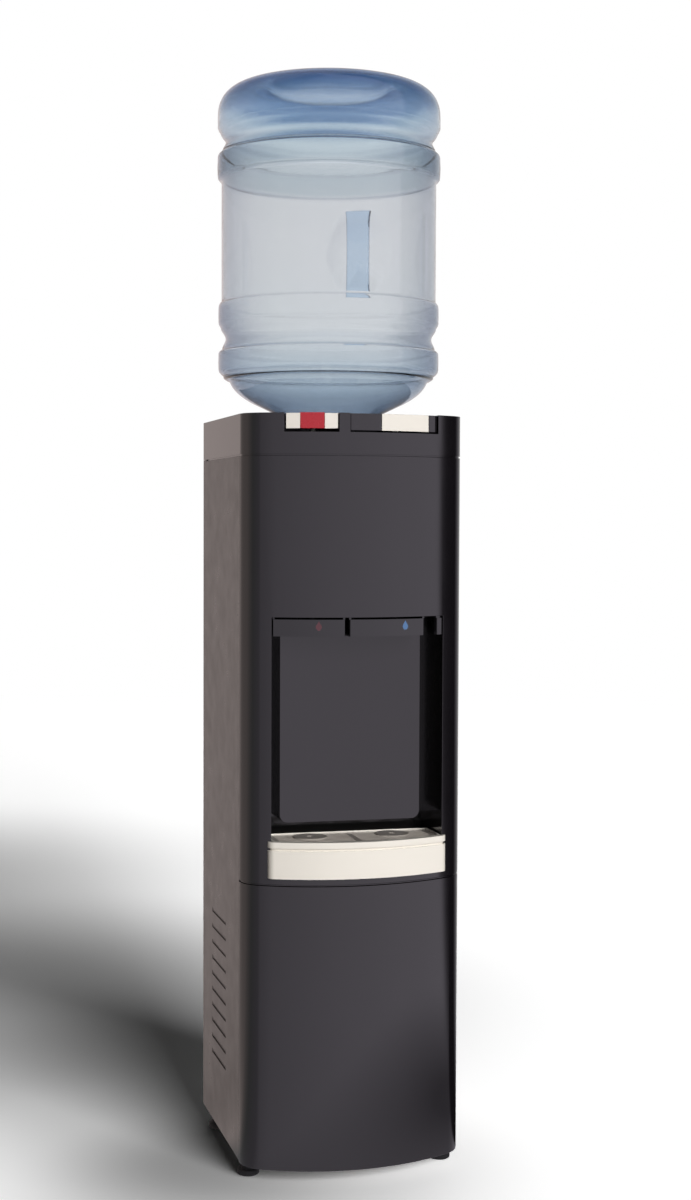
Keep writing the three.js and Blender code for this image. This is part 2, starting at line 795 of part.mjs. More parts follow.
const lockSlot = bowedSlice(
  [lever.lock[0] - fit, lever.lock[1] + fit],
  -5,
  lever.capRearY - fit - 4,
  lever.plateBottom + lever.plateThickness + fit,
  lever.top + 2,
);

function lockFrontSlot() {
  return bowedSlice(
    [lever.lock[0] - fit, lever.lock[1] + fit],
    -5,
    bowY(lever.lock[0], lever.setBack + lever.capWall),
    lever.hotCapBottom - 1,
    lever.top + 2,
  );
}

function childLock() {
  const rearY = lever.capRearY - fit - 4 - fit - lever.lockTravel;
  const plateTop = lever.plateBottom + lever.plateThickness + 2 * fit;
  const block = bowedSlice(lever.lock, lever.setBack, rearY, plateTop, lever.top + lever.lockProud);
  const face = bowedSlice(
    lever.lock,
    lever.setBack,
    bowY(lever.lock[0], lever.setBack + lever.capWall),
    lever.hotCapBottom,
    plateTop + 1,
  );
  const grip = [];
  for (let i = 0; i < 3; i += 1) {
    const y = rearY - 4 - 4 * i;
    grip.push(box([lever.lock[0] + 3, lever.lock[1] - 3], [y - 1, y + 1], [lever.top, lever.top + 2]));
  }
  return cut(join(block, face), ...grip);
}

// The lock's face reaches below the lever's plate, so the plate is notched for the lock's travel.
const lockPlateNotch = bowedSlice(
  [lever.lock[0] - fit, lever.lock[1] + fit],
  0,
  bowY(lever.lock[0], lever.setBack + lever.capWall) + lever.lockTravel + 2 * fit,
  lever.plateBottom - 1,
  lever.plateBottom + lever.plateThickness + 1,
);

const hotLever = leverBody(lever.hotWell, lever.hotCap, lever.hotCapBottom);
const hotLeverCap = leverCap(lever.hotCap, lever.hotCapBottom);

place('hot_lever', cut(hotLever, lockPlateNotch), 'charcoal');
place('hot_lever_cap', cut(hotLeverCap, lockSlot, lockFrontSlot()), 'cream');
place('hot_child_lock', childLock(), 'red');
place('cold_lever', leverBody(lever.coldWell, lever.coldCap, lever.coldCapBottom), 'charcoal');
place('cold_lever_cap', leverCap(lever.coldCap, lever.coldCapBottom), 'cream');

const pinSpan = [lever.hotWell[0] - lever.pinSeat + fit, lever.coldWell[1] + lever.pinSeat - fit];
place('lever_pin', pivotRod(...pinSpan, lever.pinRadius, 12), 'stainless');

// ---- dispensing bay: liner, tap column and the hood blocks over the taps

function bayLiner() {
  const outer = box(
    [-linerHalfWidth - bay.wall, linerHalfWidth + bay.wall],
    [-2 * halfWidth, bay.backY + bay.wall],
    [bay.bottom - bay.wall, linerRoof],
  );
  const inner = box([-linerHalfWidth, linerHalfWidth], [-2 * halfWidth, bay.backY], [bay.bottom, linerTop]);
  const behindPanel = prism(plan(panelInner, panelInner, cabinet.rearY), bay.bottom - bay.wall, linerRoof);
  const spoutHoles = [-1, 1].map((side) => rod(
    [side * tap.offset, tap.y, linerTop - 1],
    [side * tap.offset, tap.y, linerRoof + 1],
    tap.spoutRadius + fit,
    20,
  ));
  return cut(outer.intersect(behindPanel), inner, ...spoutHoles);
}

// A box outline in the x-z plane whose two lower corners are rounded.
function roundedBottom(halfX, bottom, top, radius) {
  return [
    [-halfX, top],
    ...arc([-halfX + radius, bottom + radius], radius, Math.PI, 1.5 * Math.PI, 6),
    ...arc([halfX - radius, bottom + radius], radius, 1.5 * Math.PI, 2 * Math.PI, 6),
    [halfX, top],
  ];
}

function tapColumn() {
  const top = linerTop - fit;
  const rear = bay.backY - fit;
  const { frontY, wall, corner } = column;
  const [half, bottom] = [columnHalfWidth, columnBottom];
  const outer = prismY(roundedBottom(half, bottom, top, corner), frontY, rear);
  const innerOutline = roundedBottom(half - wall, bottom + wall, top - wall, corner - wall);
  return outer.subtract(prismY(innerOutline, frontY + wall, rear + 1));
}

// A hood block: bowed fascia and floor, hung from the liner's roof by its end walls.
function hoodBlock([x0, x1], spoutX) {
  const { wall, setBack } = hood;
  const [bottom, top] = [hoodBottom, hoodTop];
  const rear = column.frontY - fit;
  const slice = (from, to, inset, zFrom, zTo) => bowedSlice([from, to], inset, rear, zFrom, zTo);
  const block = slice(x0, x1, setBack, bottom, top);
  const hollow = slice(x0 + wall, x1 - wall, setBack + wall, bottom + wall, top + 1);
  const hangers = [[x0, x0 + wall], [x1 - wall, x1]]
    .map(([from, to]) => slice(from, to, panelInner + fit, bottom, linerTop - fit));
  const body = join(block.subtract(hollow), ...hangers);
  if (spoutX === null) return body;
  const holeRadius = tap.spoutRadius + fit;
  return body.subtract(rod([spoutX, tap.y, bottom - 1], [spoutX, tap.y, bottom + wall + 1], holeRadius, 20));
}

// The narrow end block has no floor of its own to hang from, so it is one solid wall.
function hoodEnd() {
  const rear = column.frontY - fit;
  const outerX = bay.halfWidth - hood.sideGaps[1];
  const span = [outerX - hood.endWidth, outerX];
  const face = bowedSlice(span, hood.setBack, rear, hoodBottom, hoodTop);
  return face.add(bowedSlice(span, panelInner + fit, rear, hoodBottom, linerTop - fit));
}

place('bay_liner', bayLiner(), 'black');
place('tap_column', tapColumn(), 'charcoal');
place('hot_tap_hood', hoodBlock([-bay.halfWidth + hood.sideGaps[0], hood.hotInner], -tap.offset), 'hoodGrey');
place('cold_tap_hood', hoodBlock(hood.cold, tap.offset), 'hoodGrey');
place('hood_end_block', hoodEnd(), 'hoodGrey');

// ---- taps: body with spout, sealing plunger, return spring and push rod

function tapBody(side) {
  const x = side * tap.offset;
  const { spoutRadius, boreRadius, bodyRadius, chamberRadius, chamberFloor } = tap;
  const stemHole = tap.stemRadius + 0.8;
  const profile = [
    [boreRadius, hoodBottom + 1], [spoutRadius, hoodBottom + 1], [spoutRadius, tapBodyBottom],
    [bodyRadius, tapBodyBottom], [bodyRadius, tapBodyTop], [stemHole, tapBodyTop], [stemHole, tapBodyTop - 3],
    [chamberRadius, tapBodyTop - 3], [chamberRadius, tapBodyBottom + chamberFloor],
    [boreRadius, tapBodyBottom + chamberFloor - 2],
  ];
  const nippleEnd = [x - side * tube.tapReach, tap.y, tapInletZ];
  const nipple = rod([x - side * (bodyRadius - 1), tap.y, tapInletZ], nippleEnd, coldTank.nippleRadius, 12);
  const nippleBore = rod(
    [x - side * (chamberRadius - 1), tap.y, tapInletZ],
    [nippleEnd[0] - side, tap.y, tapInletZ],
    coldTank.nippleBore,
    10,
  );
  return cut(join(turned(profile, 18, [x, tap.y]), nipple), nippleBore);
}

function tapPlunger(side) {
  const sealZ = tapInletZ - 4;
  const collar = 3;
  const profile = [
    [0, sealZ], [tap.sealRadius, sealZ], [tap.sealRadius, sealZ + 3], [tap.stemRadius, sealZ + 3],
    [tap.stemRadius, springTop + fit], [tap.springRadius + 1.5, springTop + fit],
    [tap.springRadius + 1.5, springTop + fit + collar], [0, springTop + fit + collar],
  ];
  return turned(profile, 16, [side * tap.offset, tap.y]);
}

class Helix extends THREE.Curve {
  constructor([x, y], radius, bottom, top, turns) {
    super();
    Object.assign(this, { x, y, radius, bottom, top, turns });
  }

  getPoint(t, target = new THREE.Vector3()) {
    const angle = 2 * Math.PI * this.turns * t;
    const height = this.bottom + (this.top - this.bottom) * t;
    return target.set(this.x + this.radius * Math.cos(angle), this.y + this.radius * Math.sin(angle), height);
  }
}

// A path that bends only at its given nodes, with one section of a bar at each.
class Polyline extends THREE.Curve {
  constructor(nodes) {
    super();
    this.nodes = nodes.map((node) => new THREE.Vector3(...node));
  }

  getPointAt(u, target = new THREE.Vector3()) {
    return target.copy(this.nodes[Math.round(u * (this.nodes.length - 1))]);
  }

  getTangentAt(u, target = new THREE.Vector3()) {
    const last = this.nodes.length - 1;
    const index = Math.round(u * last);
    const here = this.nodes[index];
    const before = this.nodes[Math.max(index - 1, 0)];
    const after = this.nodes[Math.min(index + 1, last)];
    const arriving = here.clone().sub(before).normalize();
    return target.copy(after).sub(here).normalize().add(arriving).normalize();
  }
}

function tapSpring(side) {
  const wire = tap.wireRadius;
  const axis = [side * tap.offset, tap.y];
  const coil = new Helix(axis, tap.springRadius, springBottom + wire, springTop - wire, tap.springTurns);
  return bar(coil, wire, 8 * tap.springTurns, 4);
}

function pushRod(side) {
  const { rodRadius } = tap;
  const profile = [[0, rodBottom], [rodRadius, rodBottom], [rodRadius, rodTop - 2], [1, rodTop], [0, rodTop]];
  return turned(profile, 12, [side * tap.offset, tap.y]);
}

for (const [name, side] of [['hot', -1], ['cold', 1]]) {
  place(`${name}_tap_body`, tapBody(side), 'charcoal');
  place(`${name}_tap_plunger`, tapPlunger(side), 'whitePlastic');
  place(`${name}_tap_spring`, tapSpring(side), 'stainless');
  place(`${name}_push_rod`, pushRod(side), 'whitePlastic');
}

// ---- drip tray and grille

const trayReach = cabinet.bowRadius + tray.proud - tray.endRadius;
const trayAngle = Math.asin((trayHalfWidth - tray.endRadius) / trayReach);
const trayBow = (inset) => arc(
  [0, bowCentreY],
  cabinet.bowRadius + tray.proud - inset,
  front - trayAngle,
  front + trayAngle,
  bowSteps,
);

// What lies behind the tray's bowed front, less an inset.
const behindTrayBow = (inset, z0, z1) => prism([...trayBow(inset), [halfWidth, 0], [-halfWidth, 0]], z0, z1);

// The fascia's outline in plan: bowed in front, rounded at both ends, and bowed behind
// where it lies on the front panel.
function fasciaOutline(inset, back) {
  const endX = trayReach * Math.sin(trayAngle);
  const endY = bowCentreY - trayReach * Math.cos(trayAngle);
  const radius = tray.endRadius - inset;
  const backRadius = cabinet.bowRadius - back;
  const backAngle = Math.asin((trayHalfWidth - inset) / backRadius);
  return [
    ...arc([-endX, endY], radius, Math.PI, front - trayAngle, 6).slice(0, -1),
    ...trayBow(inset),
    ...arc([endX, endY], radius, front + trayAngle, 2 * Math.PI, 6).slice(1),
    ...arc([0, bowCentreY], backRadius, front + backAngle, front - backAngle, bowSteps),
  ];
}

function dripTray() {
  const lipBottom = trayTop - tray.lipHeight;
  const grooveBottom = lipBottom - tray.grooveHeight;
  const floor = bay.bottom + fit;
  const fascia = join(
    prism(fasciaOutline(0, -fit), lipBottom, trayTop),
    prism(fasciaOutline(tray.grooveDepth, -fit), grooveBottom - 0.1, lipBottom + 0.1),
    prism(fasciaOutline(0, -fit), trayBottom, grooveBottom),
  );
  const panSpan = [-panHalfWidth, panHalfWidth];
  const pan = box(panSpan, [-2 * halfWidth, tray.rearY], [floor, trayTop])
    .intersect(behindTrayBow(tray.wall, floor, trayTop));
  const inside = [-panHalfWidth + tray.wall, panHalfWidth - tray.wall];
  const hollow = box(inside, [-2 * halfWidth, tray.rearY - tray.wall], [floor + tray.wall, trayTop + 1])
    .intersect(behindTrayBow(tray.proud + tray.wall, floor, trayTop + 2));
  const ledgeZ = trayTop - tray.grilleDrop - tray.grilleThickness - fit;
  const ledge = 3;
  const well = box(
    [inside[0] + ledge, inside[1] - ledge],
    [-2 * halfWidth, tray.rearY - tray.wall - ledge],
    [floor + tray.wall, trayTop + 1],
  ).intersect(behindTrayBow(tray.proud + tray.wall + ledge, floor, trayTop + 2));
  const upper = hollow.intersect(box([-halfWidth, halfWidth], [-2 * halfWidth, 0], [ledgeZ, trayTop + 2]));
  return cut(fascia.add(pan), well, upper);
}

function dripGrille() {
  const z0 = trayTop - tray.grilleDrop - tray.grilleThickness;
  const z1 = trayTop - tray.grilleDrop;
  const half = panHalfWidth - tray.wall - fit;
  const rear = tray.rearY - tray.wall - fit;
  const frontInset = tray.proud + tray.wall + fit;
  const plate = box([-half, half], [-2 * halfWidth, rear], [z0, z1])
    .intersect(behindTrayBow(frontInset, z0, z1));
  const { border, slotPitch, slotWidth, slotRib } = tray;
  const slotZone = behindTrayBow(frontInset + border, z0 - 1, z1 + 1);
  let grille = plate;
  const slotRoom = rear - border - (trayFrontY + frontInset + border);
  const count = Math.floor(slotRoom / slotPitch);
  for (let i = 0; i < count; i += 1) {
    const slotRear = rear - border - i * slotPitch;
    for (const side of [-1, 1]) {
      const across = [side * slotRib / 2, side * (half - border)].sort((p, q) => p - q);
      const slot = box(across, [slotRear - slotWidth, slotRear], [z0 - 1, z1 + 1]);
      grille = grille.subtract(slot.intersect(slotZone));
    }
  }
  for (const side of [-1, 1]) {
    const x = side * tap.offset;
    grille = grille.add(rod([x, tray.discY, z0], [x, tray.discY, z1 + tray.discHeight], tray.discRadius, 24));
    grille = grille.subtract(rod([x, tray.discY, z0 - 1], [x, tray.discY, z1 + 3], 4, 12));
  }
  return grille;
}

place('drip_tray', dripTray(), 'cream');
place('drip_grille', dripGrille(), 'greyGrille');

// ---- bottle, bottle cap, seat and feed probe

const onCover = ([radius, z]) => [radius, cabinet.height + z];
const coneSlope = (bottle.coneEnd[1] - bottle.coneStart[1]) / (bottle.coneEnd[0] - bottle.coneStart[0]);
const coneZ = (radius) => cabinet.height + bottle.coneStart[1] + (radius - bottle.coneStart[0]) * coneSlope;

// Eases from one radius to the next, as the rounded steps of the moulded ribs do.
function ease([r0, z0], [r1, z1], steps) {
  const points = [];
  for (let i = 1; i <= steps; i += 1) {
    const t = i / steps;
    const blend = (1 - Math.cos(Math.PI * t)) / 2;
    points.push([r0 + (r1 - r0) * blend, z0 + (z1 - z0) * t]);
  }
  return points;
}

// The bottle's outer line from the shoulder up to its base, heights from the top cover.
function bottleRibs(inset, steps) {
  const band = bottle.bandRadius - inset;
  const upper = bottle.upperBandRadius - inset;
  const wall = bottle.wallRadius - inset;
  const groove = bottle.grooveRadius - inset;
  const shoulder = [bottle.shoulderEnd[0] - inset, bottle.shoulderEnd[1]];
  const { lowerBand, lowerGroove, middleBand, plainWall, upperBand, upperGroove, crownBand } = bottle;
  return [
    ...ease(shoulder, [band, lowerBand[0]], steps),
    [band, lowerBand[1]],
    ...ease([band, lowerBand[1]], [groove, lowerGroove], steps),
    ...ease([groove, lowerGroove], [band, middleBand[0]], steps),
    [band, middleBand[1]],
    ...ease([band, middleBand[1]], [wall, plainWall[0]], steps),
    [wall, plainWall[1]],
    ...ease([wall, plainWall[1]], [upper, upperBand[0]], steps),
    [upper, upperBand[1]],
    ...ease([upper, upperBand[1]], [groove, upperGroove], steps),
    ...ease([groove, upperGroove], [upper, crownBand[0]], steps),
    [upper, crownBand[1]],
  ];
}

function bottleProfile(inset, steps) {
  const { neckRadius, neckTop, neckLength, coneStart, crownFlat, crownPower, height, punt } = bottle;
  const shoulder = new THREE.QuadraticBezierCurve(
    new THREE.Vector2(...bottle.coneEnd),
    new THREE.Vector2(...bottle.shoulderPull),
    new THREE.Vector2(...bottle.shoulderEnd),
  ).getPoints(3).map(({ x, y }) => [x - inset * 0.7, y + inset * 0.7]);
  const crownBase = bottle.crownBand[1];
  const crownReach = bottle.upperBandRadius - crownFlat - inset;
  const crownRise = height - crownBase - inset;
  const crown = arc([0, 0], 1, 0, Math.PI / 2, 5)
    .map(([x, y]) => [Math.max(x, 0) ** crownPower, Math.max(y, 0) ** crownPower])
    .map(([across, up]) => [crownFlat + across * crownReach, crownBase + up * crownRise]);
  const neckEnd = inset === 0 ? neckTop - neckLength : neckTop - neckLength - 1;
  return [
    [0, neckEnd],
    [neckRadius - inset, neckEnd],
    [neckRadius - inset, neckTop + inset * 0.5],
    [coneStart[0] - inset * 0.6, coneStart[1] + inset * 0.8],
    ...shoulder,
    ...bottleRibs(inset, steps),
    ...crown.slice(1),
    [crownFlat - 14, height - inset - 1],
    [0, height - inset - punt],
  ].map(onCover);
}

function waterBottle() {
  const outer = turned(bottleProfile(0, 2), roundSteps);
  const inner = turned(bottleProfile(bottle.wall, 1), roundSteps);
  const [width, depth, height] = bottle.scoop;
  const middle = cabinet.height + (bottle.handleHeight[0] + bottle.handleHeight[1]) / 2;
  const angle = -THREE.MathUtils.degToRad(bottle.handleAngle);
  const scoop = (grow) => {
    const ball = new THREE.SphereGeometry(1, 12, 8);
    ball.scale(width + grow, depth + grow, height + grow);
    ball.translate(0, bottle.wallRadius + bottle.scoopOut, middle).rotateZ(angle);
    return solid(ball);
  };
  const gripLength = bottle.handleHeight[1] - bottle.handleHeight[0];
  const grip = new THREE.BoxGeometry(bottle.handleWidth, bottle.handleThickness, gripLength);
  grip.translate(0, bottle.wallRadius - bottle.handleThickness / 2 - 1, middle).rotateZ(angle);
  const shell = cut(outer, scoop(0)).subtract(cut(inner, scoop(bottle.wall)));
  return shell.add(solid(grip));
}

function bottleCap() {
  const neckEnd = cabinet.height + bottle.neckTop - bottle.neckLength;
  const radius = bottle.neckRadius + fit;
  const skin = 1.8;
  const hole = probe.radius + 1.5;
  return turned([
    [hole, neckEnd - fit - skin], [radius + skin, neckEnd - fit - skin], [radius + skin, neckEnd + 26],
    [radius, neckEnd + 26], [radius, neckEnd - fit], [hole, neckEnd - fit],
  ], 24);
}

function bottleSeat() {
  const { rimRadius, rimHeight, holeRadius, landOuter, landInner, landGap, guideRadius, guideWall } = seat;
  const { guideBottom, webThickness } = seat;
  const top = cabinet.height;
  const outerGuide = guideRadius + guideWall;
  const profile = [
    [rimRadius, top], [rimRadius, top + rimHeight - 1.2], [rimRadius - 1.2, top + rimHeight],
    [landOuter, coneZ(landOuter) - landGap], [landInner, coneZ(landInner) - landGap],
    [guideRadius, coneZ(landInner) - landGap - 4], [guideRadius, guideBottom + webThickness],
    [probe.bore + 4, guideBottom + webThickness], [probe.bore + 4, guideBottom], [outerGuide, guideBottom],
    [outerGuide, coneZ(landInner) - landGap - 8], [landOuter, top - 6], [holeRadius, top - 4],
    [holeRadius, top],
  ];
  return turned(profile, roundSteps);
}

function feedProbe() {
  const { radius, flangeRadius, flangeHeight, top, bore, port } = probe;
  const bottom = seat.guideBottom + seat.webThickness + fit;
  const stub = bore + 3.4;
  const body = turned([
    [bore, bottom - 6], [stub, bottom - 6], [stub, bottom], [flangeRadius, bottom],
    [flangeRadius, bottom + flangeHeight], [radius, bottom + flangeHeight], [radius, top - 9],
    [radius * 0.8, top - 4], [radius * 0.45, top - 1], [0, top], [0, top - 6], [bore, top - 10],
  ], 16);
  return cut(body, rod([-radius - 1, 0, top - 16], [radius + 1, 0, top - 16], port, 12));
}

place('water_bottle', waterBottle(), 'bottleBlue');
place('bottle_cap', bottleCap(), 'capBlue');
place('bottle_seat', bottleSeat(), 'black');
place('feed_probe', feedProbe(), 'whitePlastic');

// ---- cold tank with its coil, baffle, insulation and shelf

function coldTankBody() {
  const { radius, wall, bottom, top, nippleRadius, nippleBore, feedX, feedY } = coldTank;
  const outletZ = tankOutletZ;
  const shell = turned([[0, bottom], [radius, bottom], [radius, top], [radius - wall, top],
    [radius - wall, bottom + wall], [0, bottom + wall]], roundSteps);
  const outletEnd = -insulation.radius - 8;
  const outlet = rod([0, -radius + wall / 2, outletZ], [0, outletEnd, outletZ], nippleRadius, 12);
  const outletBore = rod([0, -radius + 6, outletZ], [0, outletEnd - 1, outletZ], nippleBore, 10);
  const feedEnd = shelfTop - shelf.thickness - 2;
  const feed = rod([feedX, feedY, bottom + wall / 2], [feedX, feedY, feedEnd], nippleRadius, 12);
  const feedBore = rod([feedX, feedY, bottom + 3], [feedX, feedY, feedEnd - 1], nippleBore, 10);
  return cut(join(shell, outlet, feed), outletBore, feedBore);
}

function tankInsulation() {
  const { radius, floor } = insulation;
  const floorBottom = coldTank.bottom - fit - floor;
  const cup = turned([
    [0, floorBottom], [radius, floorBottom], [radius, coldTank.top], [insulationInner, coldTank.top],
    [insulationInner, coldTank.bottom - fit], [0, coldTank.bottom - fit],
  ], roundSteps);
  const { nippleRadius, feedX, feedY } = coldTank;
  const holeRadius = nippleRadius + fit;
  const outletHole = rod([0, -radius - 1, tankOutletZ], [0, 0, tankOutletZ], holeRadius, 12);
  const feedHole = rod([feedX, feedY, floorBottom - 1], [feedX, feedY, coldTank.bottom], holeRadius, 12);
  return cut(cup, outletHole, feedHole);
}

function insulationLid() {
  const bottom = coldTank.top + fit;
  const hole = seat.guideRadius + seat.guideWall + fit;
  return ring(hole, insulation.radius, bottom, bottom + insulation.lid, roundSteps);
}

function evaporatorCoil() {
  const { coilTubeRadius, coilMargins, coilTurns, coilSteps, bottom, top } = coldTank;
  const helix = new Helix([0, 0], coilRadius, bottom + coilMargins[0], top - coilMargins[1], coilTurns);
  return bar(helix, coilTubeRadius, coilSteps * coilTurns, 5);
}

// A plastic separator that keeps the feed to the hot tank apart from the chilled water.
function tankBaffle() {
  const z = coldTank.bottom + coldTank.wall + fit;
  const radius = coldTank.radius - coldTank.wall - fit;
  const discBottom = coldTank.bottom + baffle.height;
  const discTop = discBottom + baffle.thickness;
  const tubeOuter = baffle.tubeRadius + baffle.tubeWall;
  return turned([
    [baffle.tubeRadius, z], [tubeOuter, z], [tubeOuter, discBottom], [radius, discBottom], [radius, discTop],
    [baffle.tubeRadius, discTop],
  ], roundSteps);
}

function tankShelf(frontY, top, holes) {
  const half = sideInner - fit;
  const rear = cabinet.backPanelY - fit;
  const plate = box([-half, half], [frontY, rear], [top - shelf.thickness, top]);
  return cut(plate, ...holes.map(([x, y, radius]) => rod([x, y, top - 3], [x, y, top + 1], radius, 16)));
}

place('cold_tank', coldTankBody(), 'stainless');
place('cold_tank_insulation', tankInsulation(), 'foam');
place('insulation_lid', insulationLid(), 'foam');
place('evaporator_coil', evaporatorCoil(), 'copper');
place('tank_baffle', tankBaffle(), 'whitePlastic');
place('tank_shelf', tankShelf(shelf.frontY, shelfTop, [
  [coldTank.feedX, coldTank.feedY, tube.radius + 2],
  [...suctionAt, tube.lineRadius + 2],
]), 'galvanised');

// ---- hot tank with its heater band, jacket and shelf

function hotTankBody() {
  const { x, y, radius, wall, nippleLength, outletX, inletX } = hotTank;
  const [bottom, top] = [hotTankBottom, hotTankTop];
  const shell = turned([
    [0, bottom], [radius - 8, bottom], [radius, bottom + 8], [radius, top - 10], [radius - 10, top], [0, top],
  ], 24, [x, y]);
  const hollow = turned([
    [0, bottom + wall], [radius - 8 - wall / 2, bottom + wall], [radius - wall, bottom + 8 + wall / 2],
    [radius - wall, top - 10 - wall / 2], [radius - 10 - wall / 2, top - wall], [0, top - wall],
  ], 24, [x, y]);
  const { nippleRadius, nippleBore } = coldTank;
  const end = top + nippleLength;
  const nipples = [outletX, inletX].map((at) => rod([at, y, top - wall / 2], [at, y, end], nippleRadius, 12));
  const bores = [outletX, inletX].map((at) => rod([at, y, top - 4], [at, y, end + 1], nippleBore, 10));
  const drainLength = bottom - shelf.hotZ + 4;
  const drain = rod([x, y, bottom + wall / 2], [x, y, bottom - drainLength], nippleRadius, 12);
  const drainBore = rod([x, y, bottom + 3], [x, y, bottom - drainLength - 1], nippleBore, 10);
  return cut(join(shell, ...nipples, drain), hollow, ...bores, drainBore);
}

function heaterBand() {
  const { x, y, radius, bandHeight, bandThickness } = hotTank;
  const inner = radius + fit;
  const outer = inner + bandThickness;
  const z0 = hotTankBottom + 14;
  const band = ring(inner, outer, z0, z0 + bandHeight, 24, [x, y]);
  const split = box([x - 2, x + 2], [y + radius - 2, y + outer + 1], [z0 - 1, z0 + bandHeight + 1]);
  return cut(band, split);
}

// The jacket stands on the shelf and carries the tank on an inner shoulder.
function hotTankJacket() {
  const { x, y, radius, jacketRadius, jacketGap } = hotTank;
  const [bottom, top] = [hotTankBottom, hotTankTop];
  const inner = radius + jacketGap;
  const z0 = shelf.hotZ + fit;
  const shoulder = bottom - fit;
  return turned([
    [12, z0], [jacketRadius, z0], [jacketRadius, top - 12], [inner, top - 12], [inner, bottom + 12],
    [radius + 0.6, bottom + 6], [radius - 8, shoulder], [12, shoulder],
  ], 24, [x, y]);
}

place('hot_tank', hotTankBody(), 'stainless');
place('heater_band', heaterBand(), 'copper');
place('hot_tank_jacket', hotTankJacket(), 'foam');
place('hot_tank_shelf', tankShelf(shelf.hotFrontY, shelf.hotZ, [
  [hotTank.x, hotTank.y, tube.drainRadius + 2],
  [...suctionAt, tube.lineRadius + 2],
]), 'galvanised');

// ---- water tubes

function hotWaterTube() {
  const { outletX, y, nippleLength } = hotTank;
  const startZ = hotTankTop + nippleLength + fit;
  const corridor = (linerRoof + shelfTop - shelf.thickness) / 2;
  const { rise, elbow } = hotRoute;
  return bar(spline([
    [outletX, y, startZ],
    [outletX, y, startZ + rise],
    [outletX + elbow[0], y + elbow[1], corridor + elbow[2]],
    ...hotRoute.corridor.map(([px, py, pz]) => [px, py, corridor + pz]),
    ...hotRoute.besideTaps.map(([px, py, pz]) => [px, tap.y + py, tapInletZ + pz]),
    [-tap.offset + tube.tapReach + fit, tap.y, tapInletZ],
  ]), tube.radius, 26, 8);
}

function coldWaterTube() {
  const startY = -insulation.radius - 8 - fit;
  const z = tankOutletZ;
  const endX = tap.offset - tube.tapReach - fit;
  return bar(spline([
    [0, startY, z], [0, startY - 8, z], [1, tap.y + 3, z - 9], [9, tap.y, tapInletZ + 4],
    [18, tap.y, tapInletZ], [endX, tap.y, tapInletZ],
  ]), tube.radius, 16, 8);
}

function tankFeedTube() {
  const top = shelfTop - shelf.thickness - 2 - fit;
  const bottom = hotTankTop + hotTank.nippleLength + fit;
  return rod([hotTank.inletX, hotTank.y, bottom], [coldTank.feedX, coldTank.feedY, top], tube.radius, 12);
}

function drainPipe() {
  const start = shelf.hotZ - 4 - fit;
  const { x, y } = hotTank;
  const { drainZ, drainEnd, drainRadius } = tube;
  return bar(spline([
    [x, y, start], [x, y, start - 60], [x, y, drainZ + 70], [x, y + 6, drainZ + 34], [x, y + 30, drainZ + 5],
    [x, y + 55, drainZ], [x, cabinet.backPanelY - 8, drainZ], [x, drainEnd, drainZ],
  ]), drainRadius, 24, 10);
}

function drainCap() {
  const inner = tube.drainRadius + 0.5;
  const outer = inner + 4;
  const open = backPanelRear + 0.6;
  const end = tube.drainEnd + fit;
  const cup = turned([
    [0, end + 3], [outer, end + 3], [outer, open], [inner, open], [inner, end], [0, end],
  ], 24);
  const grips = [];
  for (let i = 0; i < 8; i += 1) {
    const angle = (Math.PI * i) / 4;
    const [gx, gy] = [outer * Math.cos(angle), outer * Math.sin(angle)];
    grips.push(rod([gx, gy, open + 3], [gx, gy, end + 4], 1.6, 8));
  }
  return cut(cup, ...grips).rotate([-90, 0, 0]).translate([0, 0, tube.drainZ]);
}

place('hot_water_tube', hotWaterTube(), 'silicone');
place('cold_water_tube', coldWaterTube(), 'silicone');
place('tank_feed_tube', tankFeedTube(), 'silicone');
place('drain_pipe', drainPipe(), 'silicone');
place('drain_cap', drainCap(), 'whitePlastic');

// ---- refrigeration: compressor on its mount, condenser, suction and discharge lines

function compressorBody() {
  const { x, y, radius, bottom, height, plate } = compressor;
  const { footInset, footRise, weld, weldProud, shoulder, dome } = compressor;
  const shellBottom = bottom + plate[2] - 0.5;
  const top = shellBottom + height;
  const rim = radius + weldProud;
  const heights = weld.map((rise) => shellBottom + rise);
  const profile = [
    [0, shellBottom], [radius - footInset, shellBottom], [radius - 3, shellBottom + footRise[0]],
    [radius, shellBottom + footRise[1]], [radius, heights[0]], [rim, heights[1]], [rim, heights[2]],
    [radius, heights[3]], [radius - shoulder[0], shellBottom + shoulder[1]],
    ...dome.map(([inset, depth]) => [radius - inset, top - depth]), [0, top],
  ];
  const shell = turned(profile, 24, [x, y]);
  const base = slab([x, y], plate, bottom, bottom + plate[2]);
  const [offset, start, rise] = compressor.stubs;
  const stubs = [-1, 1].map((side) => rod(
    [x + side * offset, y, top - start],
    [x + side * offset, y, top + rise],
    tube.lineRadius + 1,
    12,
  ));
  return join(shell, base, ...stubs);
}

function compressorMount() {
  const { x, y, plate, bottom } = compressor;
  const top = bottom - fit;
  const lower = baseFloor + fit;
  const [margin, strip] = [2, 20];
  const outer = [plate[0] - 2 * margin, plate[1] - 2 * margin];
  const inner = [outer[0] - 2 * strip, outer[1] - 2 * strip];
  return cut(slab([x, y], outer, lower, top), slab([x, y], inner, lower - 1, top + 1));
}

